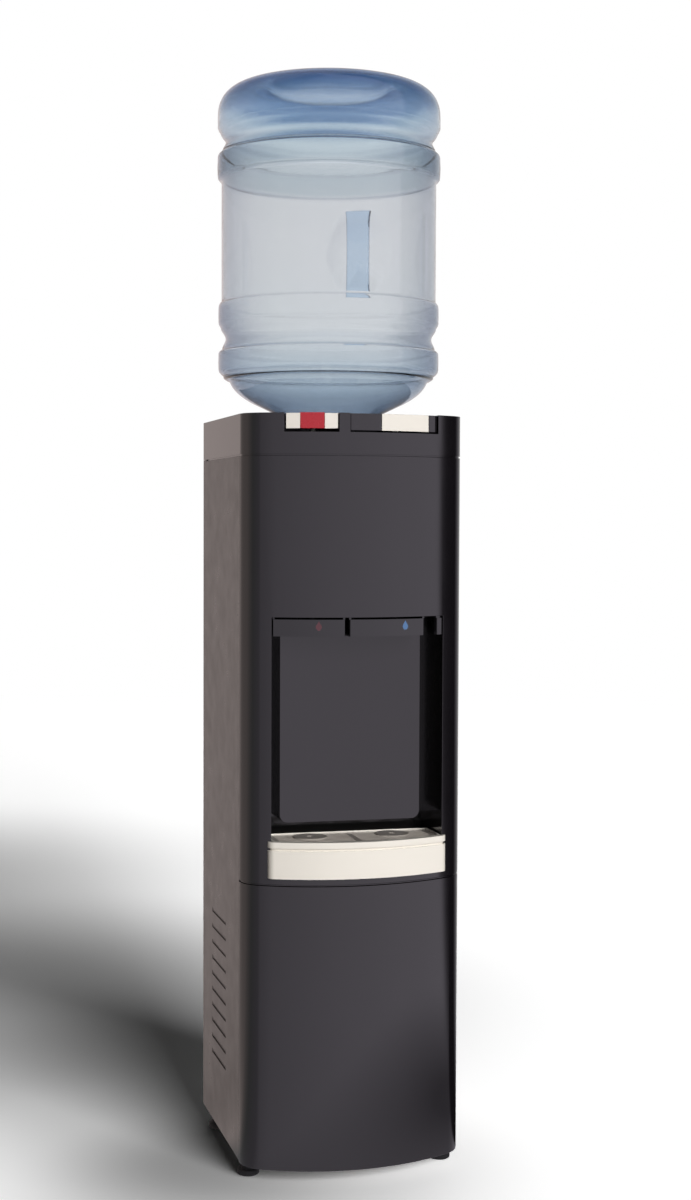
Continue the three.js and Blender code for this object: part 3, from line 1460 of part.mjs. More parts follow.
// The condenser's tube runs to and fro across the back, held by two straps on the back panel.
function condenserCoil() {
  const { y, tubeRadius, halfRun, bottom, pitch, strapX, strapWidth, strapDepth } = condenser;
  const runs = condenserRuns;
  const bend = pitch / 2;
  const bendSteps = 4;
  const nodes = [];
  for (let i = 0; i < runs; i += 1) {
    const z = bottom + i * pitch;
    const side = i % 2 === 0 ? 1 : -1;
    nodes.push([i === 0 ? condenserInletX : side * halfRun, y, z], [-side * halfRun, y, z]);
    for (let k = 1; k < bendSteps && i < runs - 1; k += 1) {
      const angle = -Math.PI / 2 + (Math.PI * k) / bendSteps;
      nodes.push([-side * (halfRun + bend * Math.cos(angle)), y, z + bend + bend * Math.sin(angle)]);
    }
  }
  const serpentine = bar(new Polyline(nodes), tubeRadius, nodes.length - 1, 6);
  const strapTop = bottom + (runs - 1) * pitch + 14;
  const strapY = [y - tubeRadius - strapDepth + 0.6, y - tubeRadius + 0.6];
  const straps = [-1, 1].map((side) => {
    const across = [side * strapX - strapWidth / 2, side * strapX + strapWidth / 2];
    const feet = [bottom - 14, strapTop - 10].map((z) => box(
      across,
      [backPanelRear + fit, strapY[0] + 0.4],
      [z, z + 10],
    ));
    return join(box(across, strapY, [bottom - 14, strapTop]), ...feet);
  });
  return join(serpentine, ...straps);
}

function dischargeLine() {
  const { x, y } = compressor;
  const stubX = x + compressor.stubs[0];
  const [exitX, exitZ] = dischargeExit;
  const endX = condenserInletX + fit;
  return bar(spline([
    [stubX, y, compressorTop + fit], [stubX, y, compressorTop + 16], [x + 44, y + 14, compressorTop + 48],
    [exitX - 14, y + 44, exitZ - 26], [exitX, cabinet.backPanelY - 10, exitZ],
    [exitX, backPanelRear + 4, exitZ], [exitX, condenser.y, exitZ + 14],
    [endX + 11, condenser.y, condenser.bottom - 3],
    [endX + 5, condenser.y, condenser.bottom], [endX, condenser.y, condenser.bottom],
  ]), tube.lineRadius * 0.8, 32, 6);
}

function suctionLine() {
  const { x, y } = compressor;
  const stubX = x - compressor.stubs[0];
  const [suctionX, suctionY] = suctionAt;
  const endRadius = insulation.radius + fit + 0.5;
  const direction = Math.hypot(suctionX, suctionY);
  const endX = (suctionX / direction) * endRadius;
  const endY = (suctionY / direction) * endRadius;
  return bar(spline([
    [stubX, y, compressorTop + fit], [stubX, y, compressorTop + 16], [-60, y + 8, compressorTop + 60],
    [suctionX, suctionY, shelf.hotZ - 60], [suctionX, suctionY, shelf.hotZ + 20],
    [suctionX, suctionY, shelfTop - 30], [suctionX, suctionY, shelfTop + 25],
    [suctionX * 0.97, suctionY * 0.97, shelfTop + 45], [endX, endY, shelfTop + 58],
  ]), tube.lineRadius, 34, 6);
}

place('compressor', compressorBody(), 'blackSteel');
place('compressor_mount', compressorMount(), 'rubber');
place('condenser_coil', condenserCoil(), 'blackSteel');
place('discharge_line', dischargeLine(), 'copper');
place('suction_line', suctionLine(), 'copper');

// ---- rear switches and power inlet

function switchPlate() {
  const { x, z, plateSize, plateThickness, rockerWidth, rockerHeight, windowClearance } = switches;
  const y0 = backPanelRear + fit;
  const y1 = y0 + plateThickness;
  const plate = boxAt([(x[0] + x[1]) / 2, z], plateSize, y0, y1);
  const windowSize = [rockerWidth + 1, rockerHeight + 2 * windowClearance];
  return cut(plate, ...x.map((at) => boxAt([at, z], windowSize, y0 - 1, y1 + 1)));
}

// A rocker: both halves of its face slope a little towards the pivot.
function rocker(x) {
  const { z, rockerWidth, rockerHeight, rockerDepth } = switches;
  const half = rockerHeight / 2;
  const face = rockerPivotY + 4;
  return prismX([
    [face + 1.4, z - half], [face, z], [face + 1.4, z + half], [rockerPivotY - 1, z + half],
    [rockerPivotY - rockerDepth / 2, z + half / 2], [rockerPivotY - rockerDepth / 2, z - half / 2],
    [rockerPivotY - 1, z - half],
  ], x - rockerWidth / 2, x + rockerWidth / 2);
}

function powerInlet() {
  const { x, z, width, height, flange, depth, recess, pinLength, wall } = inlet;
  const y0 = backPanelRear + fit;
  const face = y0 + flange;
  const plate = boxAt([x, z], [width, height], y0, face);
  const socket = boxAt([x, z], [recess[0] + 2 * wall, recess[1] + 2 * wall], face - depth, y0 + 1);
  const hollow = boxAt([x, z], recess, face - recess[2], face + 1);
  const pins = [-7, 0, 7].map((offset, index) => box(
    [x + offset - 1, x + offset + 1],
    [face - recess[2] - 1, face - recess[2] + pinLength],
    index === 1 ? [z - 5.5, z - 1.5] : [z + 0.5, z + 4.5],
  ));
  return join(cut(join(plate, socket), hollow), ...pins);
}

place('switch_plate', switchPlate(), 'black');
place('hot_power_switch', rocker(switches.x[0]), 'red');
place('cold_power_switch', rocker(switches.x[1]), 'whitePlastic');
place('power_inlet', powerInlet(), 'black');

export default dispenser;
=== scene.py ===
"""Looks of a floor-standing water dispenser with its inverted bottle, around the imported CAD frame.

Lengths are in metres in the CAD's own frame: +Z up, the floor at z = 0 and the front towards -Y.
"""

import json
import math

import bmesh
import bpy
from mathutils import Matrix, Vector


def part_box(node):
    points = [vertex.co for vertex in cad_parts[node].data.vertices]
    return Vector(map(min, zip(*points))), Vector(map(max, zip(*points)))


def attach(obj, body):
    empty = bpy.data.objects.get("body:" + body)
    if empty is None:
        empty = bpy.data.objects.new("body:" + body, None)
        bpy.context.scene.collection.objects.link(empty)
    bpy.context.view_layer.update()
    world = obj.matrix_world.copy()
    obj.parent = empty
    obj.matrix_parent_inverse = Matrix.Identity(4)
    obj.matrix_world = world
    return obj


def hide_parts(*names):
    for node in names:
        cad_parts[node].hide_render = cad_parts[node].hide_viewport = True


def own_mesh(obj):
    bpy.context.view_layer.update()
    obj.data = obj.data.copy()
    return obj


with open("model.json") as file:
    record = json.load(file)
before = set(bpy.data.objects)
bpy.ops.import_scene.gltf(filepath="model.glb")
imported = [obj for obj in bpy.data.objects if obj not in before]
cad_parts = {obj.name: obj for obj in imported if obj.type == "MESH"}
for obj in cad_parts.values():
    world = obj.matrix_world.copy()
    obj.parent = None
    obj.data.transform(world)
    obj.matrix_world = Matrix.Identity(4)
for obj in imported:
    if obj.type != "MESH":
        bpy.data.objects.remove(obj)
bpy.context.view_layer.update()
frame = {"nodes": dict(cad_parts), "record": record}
nodes = frame["nodes"]
MM = 0.001

body_of = {}
for body_name, members in frame["record"]["behaviour"]["bodies"].items():
    for member in members:
        body_of[member] = body_name

slot_of = {part["node"]: part["material_slot"] for part in frame["record"]["subparts"]}


# ------------------------------------------------------------------ places taken from the frame

def middle(node):
    """The middle of a CAD node's box."""
    low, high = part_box(node)
    return (low + high) / 2


AXIS = middle("bottle_seat")            # the bottle's axis
AXIS_Y = AXIS.y
COVER_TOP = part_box("top_cover")[1].z
HALF_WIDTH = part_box("top_cover")[1].x   # to the outer faces of the side panels


# ------------------------------------------------------------------ camera, lights, floor, backdrop

LENS_PER_FRAME = 1.579                  # focal length over the long side of the frame
CAMERA_BACK = 2.2648                    # in front of the bottle's axis
CAMERA_LEFT = 0.5765
CAMERA_HEIGHT = 0.7745
CAMERA_YAW = 0.2587
CAMERA_PITCH = -0.0422
CAMERA_ROLL = 0.0037


def make_camera():
    data = bpy.data.cameras.new("camera")
    data.sensor_width = 36.0
    data.lens = 36.0 * LENS_PER_FRAME
    data.clip_end = 60.0
    camera = bpy.data.objects.new("camera", data)
    bpy.context.scene.collection.objects.link(camera)
    turn = Matrix.Rotation(-CAMERA_YAW, 4, "Z")
    turn @= Matrix.Rotation(math.pi / 2 + CAMERA_PITCH, 4, "X")
    turn @= Matrix.Rotation(CAMERA_ROLL, 4, "Z")
    place = Matrix.Translation((-CAMERA_LEFT, AXIS_Y - CAMERA_BACK, CAMERA_HEIGHT))
    camera.matrix_world = place @ turn
    bpy.context.scene.camera = camera


def soft_light(name, azimuth, elevation, spread, strength):
    """Light of one strength everywhere, from a wide patch of sky; azimuth 0 is straight in front."""
    data = bpy.data.lights.new(name, "SUN")
    data.angle = math.radians(spread)
    data.energy = strength
    light = bpy.data.objects.new(name, data)
    bpy.context.scene.collection.objects.link(light)
    a, e = math.radians(azimuth), math.radians(elevation)
    away = Vector((math.sin(a) * math.cos(e), -math.cos(a) * math.cos(e), math.sin(e)))
    light.location = Vector((0, AXIS_Y, 0.6)) + away * 4
    light.rotation_euler = away.to_track_quat("Z", "Y").to_euler()
    light.visible_camera = False
    light.visible_glossy = False
    light.visible_transmission = False


# The studio's walls as mirror rays see them, from dark flags to bright soft boxes. Each stop has its
# direction in degrees from straight in front towards +X, its brightness and its tint, and the walls
# blend from stop to stop.
COOL, WARM, PLAIN = (0.95, 0.885, 1.0), (1.14, 0.97, 0.93), (1, 1, 1)
WALLS = [
    (-180, 0.62, WARM), (-160, 0.5, WARM), (-142, 0.36, WARM), (-106, 0.5, WARM), (-78, 0.27, PLAIN),
    (-52, 0.36, COOL), (-38, 0.68, COOL), (0, 0.87, COOL), (36, 1.0, COOL), (52, 1.0, COOL),
    (66, 1.0, COOL), (68.5, 0.3, COOL), (71, 0.0, COOL), (98, 0.01, COOL), (112, 0.27, COOL),
    (138, 0.6, PLAIN), (180, 0.62, WARM),
]


def math_node(tree, operation, *values):
    node = tree.nodes.new("ShaderNodeMath")
    node.operation = operation
    for socket, value in zip(node.inputs, values):
        if isinstance(value, (int, float)):
            socket.default_value = value
        else:
            tree.links.new(value, socket)
    return node.outputs[0]


def map_node(tree, value, source, target, smooth=False):
    """The value with its range source turned into the range target, and held at the target's ends."""
    node = tree.nodes.new("ShaderNodeMapRange")
    node.interpolation_type = "SMOOTHSTEP" if smooth else "LINEAR"
    node.inputs["From Min"].default_value, node.inputs["From Max"].default_value = source
    node.inputs["To Min"].default_value, node.inputs["To Max"].default_value = target
    tree.links.new(value, node.inputs["Value"])
    return node.outputs["Result"]


def mirror_rays(tree, path):
    """Mirror rays that haven't met a matt surface first, so that gloss throws no glow on the floor."""
    unscattered = math_node(tree, "LESS_THAN", path.outputs["Diffuse Depth"], 0.5)
    return math_node(tree, "MULTIPLY", path.outputs["Is Glossy Ray"], unscattered)


def split_rays(tree, seen, mirrored, plain, output_kind):
    """One look for the eye and through clear plastic, one for mirror rays and one for all other rays."""
    path = tree.nodes.new("ShaderNodeLightPath")
    matt = tree.nodes.new("ShaderNodeMixShader")
    tree.links.new(mirror_rays(tree, path), matt.inputs[0])
    tree.links.new(plain.outputs[0], matt.inputs[1])
    tree.links.new(mirrored.outputs[0], matt.inputs[2])
    clear = math_node(tree, "MAXIMUM", path.outputs["Is Camera Ray"], path.outputs["Is Transmission Ray"])
    mix = tree.nodes.new("ShaderNodeMixShader")
    tree.links.new(clear, mix.inputs[0])
    tree.links.new(matt.outputs[0], mix.inputs[1])
    tree.links.new(seen.outputs[0], mix.inputs[2])
    tree.links.new(mix.outputs[0], tree.nodes.new(output_kind).inputs["Surface"])


def walls_colour(tree, direction):
    """The colour of the studio's walls along a direction from the object."""
    parts = tree.nodes.new("ShaderNodeSeparateXYZ")
    tree.links.new(direction, parts.inputs["Vector"])
    turn = math_node(tree, "ARCTAN2", parts.outputs["X"], math_node(tree, "MULTIPLY", parts.outputs["Y"], -1))
    place = map_node(tree, turn, (-math.pi, math.pi), (0, 1))
    ramp = tree.nodes.new("ShaderNodeValToRGB")
    tree.links.new(place, ramp.inputs["Fac"])
    elements = ramp.color_ramp.elements
    while len(elements) < len(WALLS):
        elements.new(0.5)
    for element, (azimuth, brightness, tint) in zip(elements, WALLS):
        element.position = (azimuth + 180) / 360
        element.color = (*(channel * brightness for channel in tint), 1)
    return ramp.outputs["Color"]


FILL_EDGE = (0.04, 0.12)                # height of a direction at which the fill starts and stops to fade
FILL_STRENGTHS = (0.8, 0.012)           # below and above that edge


def make_world():
    """White to the eye and through clear plastic, studio walls to mirror rays, and low fill to the rest."""
    world = bpy.data.worlds.new("studio")
    bpy.context.scene.world = world
    world.use_nodes = True
    tree = world.node_tree
    tree.nodes.clear()
    place = tree.nodes.new("ShaderNodeTexCoord").outputs["Generated"]
    parts = tree.nodes.new("ShaderNodeSeparateXYZ")
    tree.links.new(place, parts.inputs["Vector"])
    fill = tree.nodes.new("ShaderNodeBackground")
    fill.inputs["Color"].default_value = (1.0, 0.99, 0.97, 1)
    tree.links.new(map_node(tree, parts.outputs["Z"], FILL_EDGE, FILL_STRENGTHS), fill.inputs["Strength"])
    walls = tree.nodes.new("ShaderNodeBackground")
    walls.inputs["Strength"].default_value = 1.0
    tree.links.new(walls_colour(tree, place), walls.inputs["Color"])
    white = tree.nodes.new("ShaderNodeBackground")
    white.inputs["Color"].default_value = (1, 1, 1, 1)
    white.inputs["Strength"].default_value = 1.0
    split_rays(tree, white, walls, fill, "ShaderNodeOutputWorld")


def stage_plane(name, corners, material):
    mesh = bpy.data.meshes.new(name)
    mesh.from_pydata(corners, [], [(0, 1, 2, 3)])
    plane = bpy.data.objects.new(name, mesh)
    bpy.context.scene.collection.objects.link(plane)
    plane.data.materials.append(material)


FLOOR_REACH = 14.0
FLOOR_GAIN = 2.85                       # lifts the lit floor to white, for the camera and through the bottle
WHITE_FROM = (3.4, 6.0)                 # distances from the axis between which the floor turns plain white
CALM_FLOOR = (0.5, 0.465, 0.45)         # the floor's colour for the light that it throws on the object
# Painted shade in the floor's mirror image: its glow is dimmed round a point to the right of the base, from
# its middle to its edge.
DIM_PLACE, DIM_RADII, DIM_STRENGTHS = (0.4, -0.2), (0.08, 0.58), (0.22, 1.0)
# Painted shadows: soft round shades painted into the floor's colour, beside and behind the base, on top of
# the shadow
# that the object casts: the place from the axis, the inner and outer radius, and how much brightness is left
# in the middle.
PAINTED_FLOOR_SHADOWS = [
    (-0.14, -0.08, 0.04, 0.42, 0.42), (-0.33, 0.8, 0.2, 0.95, 0.42), (-0.75, 1.9, 0.2, 1.3, 0.5),
    (-0.17, -0.05, 0.02, 0.22, 0.66), (-0.24, 0.3, 0.02, 0.42, 0.66),
]


def distance_from(tree, position, x, y):
    node = tree.nodes.new("ShaderNodeVectorMath")
    node.operation = "DISTANCE"
    tree.links.new(position, node.inputs[0])
    node.inputs[1].default_value = (x, y, 0)
    return node.outputs["Value"]


def make_floor():
    """A floor that keeps the object's cast shadow near it, has painted shadows beside and behind the base,
    and turns white further off.
    """
    material = bpy.data.materials.new("floor")
    material.use_nodes = True
    tree = material.node_tree
    tree.nodes.clear()
    position = tree.nodes.new("ShaderNodeNewGeometry").outputs["Position"]

    white = tree.nodes.new("ShaderNodeEmission")
    white.inputs["Color"].default_value = (1, 1, 1, 1)
    white.inputs["Strength"].default_value = 1.0
    bright = tree.nodes.new("ShaderNodeBsdfDiffuse")
    gain = FLOOR_GAIN
    # Painted shadows: the floor's colour darkens round each of these places.
    for x, y, inner, outer, remaining in PAINTED_FLOOR_SHADOWS:
        distance = distance_from(tree, position, x, AXIS_Y + y)
        shading = map_node(tree, distance, (inner, outer), (remaining, 1), smooth=True)
        gain = math_node(tree, "MULTIPLY", shading, gain)
    tree.links.new(gain, bright.inputs["Color"])
    near = tree.nodes.new("ShaderNodeMixShader")
    from_middle = distance_from(tree, position, 0, AXIS_Y)
    tree.links.new(map_node(tree, from_middle, WHITE_FROM, (0, 1)), near.inputs[0])
    tree.links.new(bright.outputs[0], near.inputs[1])
    tree.links.new(white.outputs[0], near.inputs[2])

    calm = tree.nodes.new("ShaderNodeBsdfDiffuse")
    calm.inputs["Color"].default_value = (*CALM_FLOOR, 1)

    # To mirror rays the floor glows with the walls' colours, with painted shade round a point to the right of
    # the base.
    walls = tree.nodes.new("ShaderNodeEmission")
    from_axis = tree.nodes.new("ShaderNodeVectorMath")
    from_axis.operation = "SUBTRACT"
    tree.links.new(position, from_axis.inputs[0])
    from_axis.inputs[1].default_value = (0, AXIS_Y, 0)
    tree.links.new(walls_colour(tree, from_axis.outputs["Vector"]), walls.inputs["Color"])
    from_dim_place = distance_from(tree, position, DIM_PLACE[0], AXIS_Y + DIM_PLACE[1])
    dim = map_node(tree, from_dim_place, DIM_RADII, DIM_STRENGTHS)
    tree.links.new(dim, walls.inputs["Strength"])

    split_rays(tree, near, walls, calm, "ShaderNodeOutputMaterial")
    corners = [(-1, -1), (1, -1), (1, 1), (-1, 1)]
    stage_plane("floor", [(x * FLOOR_REACH, y * FLOOR_REACH, 0) for x, y in corners], material)


def make_studio():
    bpy.context.scene.view_settings.view_transform = "Standard"
    make_camera()
    make_world()
    make_floor()
    soft_light("key", azimuth=14, elevation=20, spread=30, strength=3.0)
    soft_light("rear", azimuth=150, elevation=20, spread=40, strength=0.12)


# ------------------------------------------------------------------ materials

class Finish:
    """A procedural material: helpers that add nodes to one shader tree."""

    def __init__(self, name):
        self.material = bpy.data.materials.new(name)
        self.material.use_nodes = True
        self.tree = self.material.node_tree
        self.shader = self.tree.nodes["Principled BSDF"]
        self.place = self.tree.nodes.new("ShaderNodeTexCoord").outputs["Object"]

    def add(self, kind, **settings):
        node = self.tree.nodes.new(kind)
        for key, value in settings.items():
            setattr(node, key, value)
        return node

    def link(self, start, end):
        self.tree.links.new(start, end)

    def set(self, **values):
        """Plain values on the shader's own sockets; an underscore in a name stands for a space."""
        for key, value in values.items():
            self.shader.inputs[key.replace("_", " ")].default_value = value

    def stretched(self, scale):
        mapping = self.add("ShaderNodeMapping")
        mapping.inputs["Scale"].default_value = scale
        self.link(self.place, mapping.inputs["Vector"])
        return mapping.outputs["Vector"]

    def noise(self, scale, detail=3.0, roughness=0.5, vector=None):
        node = self.add("ShaderNodeTexNoise")
        node.inputs["Scale"].default_value = scale
        node.inputs["Detail"].default_value = detail
        node.inputs["Roughness"].default_value = roughness
        self.link(vector or self.place, node.inputs["Vector"])
        return node.outputs["Fac"]

    def cells(self, scale):
        node = self.add("ShaderNodeTexVoronoi")
        node.inputs["Scale"].default_value = scale
        self.link(self.place, node.inputs["Vector"])
        return node

    def spread(self, value, low, high, source=(0.3, 0.7)):
        return map_node(self.tree, value, source, (low, high))

    def blend(self, factor, first, second):
        node = self.add("ShaderNodeMix", data_type="RGBA")
        node.inputs[6].default_value = (*first, 1)
        node.inputs[7].default_value = (*second, 1)
        self.link(factor, node.inputs[0])
        return node.outputs[2]

    def tinted(self, value, colour, low, high, source=(0.3, 0.7)):
        """The colour times low to times high, as the value goes through its range."""
        return self.blend(self.spread(value, 0, 1, source), shade(colour, low), shade(colour, high))

    def drive(self, socket, value):
        self.link(value, self.shader.inputs[socket])

    def bump(self, height, depth, strength=1.0):
        node = self.add("ShaderNodeBump")
        node.inputs["Strength"].default_value = strength
        node.inputs["Distance"].default_value = depth
        self.link(height, node.inputs["Height"])
        self.drive("Normal", node.outputs["Normal"])


def shade(colour, amount):
    """The colour times an amount, with no channel over 1."""
    return tuple(min(1.0, channel * amount) for channel in colour)


def plastic_finish(name, colour, roughness, grain=0.00002, mottle=0.08):
    """Moulded plastic: a fine grain in the surface, and slight clouds in its colour and gloss."""
    finish = Finish(name)
    clouds = finish.noise(9, 4)
    finish.drive("Base Color", finish.tinted(clouds, colour, 1 - mottle, 1 + mottle))
    handling = finish.noise(26, 5, 0.6)
    finish.drive("Roughness", finish.spread(handling, roughness * 0.88, roughness * 1.12))
    finish.bump(finish.noise(1400, 2), grain)
    finish.set(IOR=1.5, Specular_IOR_Level=0.8)
    return finish


def plastic(*values, **settings):
    return plastic_finish(*values, **settings).material


def powder_coat(name, colour, roughness):
    """Painted sheet steel: the soft orange peel of a powder coat over a faintly wavy sheet."""
    finish = Finish(name)
    clouds = finish.noise(6, 3)
    finish.drive("Base Color", finish.tinted(clouds, colour, 0.93, 1.07))
    finish.drive("Roughness", finish.spread(finish.noise(40, 4), roughness * 0.9, roughness * 1.1))
    finish.bump(finish.noise(420, 2), 0.000015)
    finish.set(IOR=1.5)
    return finish.material


def zinc_sheet(name, colour):
    """Galvanised steel: crystal spangles that differ a little in tone and gloss."""
    finish = Finish(name)
    spangle = finish.cells(110)
    tone = finish.add("ShaderNodeSeparateColor")
    finish.link(spangle.outputs["Color"], tone.inputs["Color"])
    finish.drive("Base Color", finish.blend(tone.outputs[0], shade(colour, 0.82), shade(colour, 1.12)))
    finish.drive("Roughness", finish.spread(tone.outputs[1], 0.34, 0.5, (0, 1)))
    finish.bump(finish.noise(300, 3), 0.00002)
    finish.set(Metallic=1.0)
    return finish.material


def metal(name, colour, roughness, stain=0.12):
    """Drawn or brushed metal: long streaks along one direction over faint stains."""
    finish = Finish(name)
    streaks = finish.noise(1, 3, 0.6, finish.stretched((60, 60, 1800)))
    stains = finish.noise(30, 4)
    finish.drive("Base Color", finish.tinted(stains, colour, 1 - stain, 1 + stain * 0.5))
    finish.drive("Roughness", finish.spread(streaks, roughness * 0.75, roughness * 1.25))
    finish.bump(streaks, 0.00001)
    finish.set(Metallic=1.0)
    return finish.material


def bead_foam(name, colour):
    """Expanded polystyrene: packed beads with soft grooves between them, and painted shade in the grooves."""
    finish = Finish(name)
    distance = finish.cells(320).outputs["Distance"]
    # Painted shade: the colour darkens towards the grooves between the beads.
    finish.drive("Base Color", finish.tinted(distance, colour, 1, 0.86, (0, 0.8)))
    finish.set(Roughness=0.9)
    finish.bump(distance, -0.0004, 0.6)
    return finish.material


DROPS = [(-51.5 * MM, (0.075, 0.012, 0.018)), (52 * MM, (0.05, 0.145, 0.32))]      # place in x, and ink
DROP_HALF_WIDTH, DROP_HALF_HEIGHT = 3.6 * MM, 5.6 * MM
PRINT_REACH = 14 * MM                   # the print lies on faces this far behind the hood's front at most


def printed_drop(finish, x, z, rear):
    """A mask with the shape of a drop on the faces before the given y: round below, pointed above."""
    parts = finish.add("ShaderNodeSeparateXYZ")
    finish.link(finish.place, parts.inputs["Vector"])
    tree = finish.tree
    up = math_node(tree, "DIVIDE", math_node(tree, "SUBTRACT", parts.outputs["Z"], z), DROP_HALF_HEIGHT)
    taper = map_node(tree, up, (-0.2, 1.0), (1.0, 0.02))
    across = math_node(tree, "DIVIDE", math_node(tree, "SUBTRACT", parts.outputs["X"], x), DROP_HALF_WIDTH)
    narrow = math_node(tree, "DIVIDE", across, taper)
    squares = [math_node(tree, "MULTIPLY", value, value) for value in (narrow, up)]
    inside = math_node(tree, "LESS_THAN", math_node(tree, "ADD", *squares), 1.0)
    return math_node(tree, "MULTIPLY", inside, math_node(tree, "LESS_THAN", parts.outputs["Y"], rear))


def hood_plastic(name, colour):
    """Glossy grey plastic with a printed red drop on the hot side and a blue one on the cold side."""
    finish = plastic_finish(name, colour, 0.12, grain=0.000008)
    plain = finish.shader.inputs["Base Color"].links[0].from_socket
    low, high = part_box("hot_tap_hood")
    z = (low.z + high.z) / 2
    for x, ink in DROPS:
        print_layer = finish.add("ShaderNodeMix", data_type="RGBA")
        finish.link(printed_drop(finish, x, z, low.y + PRINT_REACH), print_layer.inputs[0])
        finish.link(plain, print_layer.inputs[6])
        print_layer.inputs[7].default_value = (*ink, 1)
        plain = print_layer.outputs[2]
    finish.drive("Base Color", plain)
    return finish.material


def rubber(name, colour):
    """Moulded rubber: matt, with a dusty bloom and a fine grain."""
    finish = Finish(name)
    clouds = finish.noise(60, 5, 0.65)
    finish.drive("Base Color", finish.tinted(clouds, colour, 0.75, 1.4))
    finish.drive("Roughness", finish.spread(clouds, 0.7, 0.9))
    finish.bump(finish.noise(1500, 3), 0.00006)
    return finish.material


def soft_tube(name, colour):
    """Milky silicone tube: light passes into it a little way."""
    finish = Finish(name)
    clouds = finish.noise(50, 3)
    finish.drive("Base Color", finish.tinted(clouds, colour, 0.92, 1.04))
    finish.set(Roughness=0.35, Subsurface_Weight=0.3, Subsurface_Radius=(0.004, 0.004, 0.005))
    finish.bump(finish.noise(700, 2), 0.00002)
    return finish.material


# The wall's blue from the mouth (0) to the base (1) of the inverted bottle: clear along the plain wall, and
# deeper towards the neck and in the crown, where the plastic is thicker. The darker upper band and the groove
# below the crown are painted shade, and the clearer strip just under the crown is painted light.
BOTTLE_TINTS_AND_PAINTED_LIGHT = [
    (0.0, (0.50, 0.60, 0.70)), (0.26, (0.62, 0.69, 0.75)), (0.37, (0.765, 0.79, 0.81)),
    (0.60, (0.77, 0.785, 0.805)), (0.752, (0.765, 0.78, 0.80)), (0.772, (0.55, 0.61, 0.65)),
    (0.81, (0.53, 0.60, 0.65)), (0.85, (0.69, 0.75, 0.79)), (0.90, (0.93, 0.98, 1.0)),
    (0.942, (0.47, 0.59, 0.71)), (0.965, (0.22, 0.345, 0.535)), (1.0, (0.09, 0.215, 0.43)),
]
# How much deeper the wall turns when seen at a slant: partly the longer path through the plastic, partly
# painted shade that draws dark lines on the bands and edges, so less on the plain wall than on the bands.
SLANT_DEPTHS_AND_SHADES = [
    (0.0, 0.6), (0.43, 0.95), (0.455, 0.4), (0.735, 0.4), (0.76, 0.8), (0.84, 0.75), (0.9, 0.5), (1.0, 0.8),
]
SLANT_BLUE = (0.11, 0.17, 0.32)
BAR_TINTS = [(0.0, (0.70, 0.83, 0.97)), (1.0, (0.70, 0.83, 0.97))]


def fill_ramp(ramp, stops):
    elements = ramp.color_ramp.elements
    while len(elements) < len(stops):
        elements.new(0.5)
    for element, (position, colour) in zip(elements, stops):
        element.position = position
        element.color = (*colour, 1)


def bottle_blue(name, stops):
    """Clear blue polycarbonate: its blue follows the stops by height, and turns deeper where seen at a slant,
    partly as painted shade.
    """
    finish = Finish(name)
    height = finish.add("ShaderNodeSeparateXYZ")
    finish.link(finish.place, height.inputs["Vector"])
    ramp = finish.add("ShaderNodeValToRGB")
    low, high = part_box("water_bottle")
    # The blue by height: the wall's own tint, with painted shade and painted light on the upper bands.
    span = finish.spread(height.outputs["Z"], 0, 1, (low.z, high.z))
    finish.link(span, ramp.inputs["Fac"])
    fill_ramp(ramp, stops)
    slant = finish.add("ShaderNodeLayerWeight")
    slant.inputs["Blend"].default_value = 0.5
    depth = finish.add("ShaderNodeValToRGB")
    finish.link(span, depth.inputs["Fac"])
    fill_ramp(depth, [(position, (amount, amount, amount)) for position, amount in SLANT_DEPTHS_AND_SHADES])
    # Partly painted shade: the blue deepens where the wall is seen at a slant, more on the bands than on the
    # plain wall.
    edge = finish.spread(slant.outputs["Facing"], 0, 1, (0.12, 0.95))
    deep = finish.add("ShaderNodeMix", data_type="RGBA", blend_type="MULTIPLY")
    finish.link(math_node(finish.tree, "MULTIPLY", edge, depth.outputs["Color"]), deep.inputs[0])
    finish.link(ramp.outputs["Color"], deep.inputs[6])
    deep.inputs[7].default_value = (*SLANT_BLUE, 1)
    finish.drive("Base Color", deep.outputs[2])
    finish.drive("Roughness", finish.spread(finish.noise(18, 5, 0.6), 0.004, 0.02))
    finish.bump(finish.noise(14, 2), 0.0003, 0.5)
    finish.set(IOR=1.45, Transmission_Weight=1.0)
    return finish.material


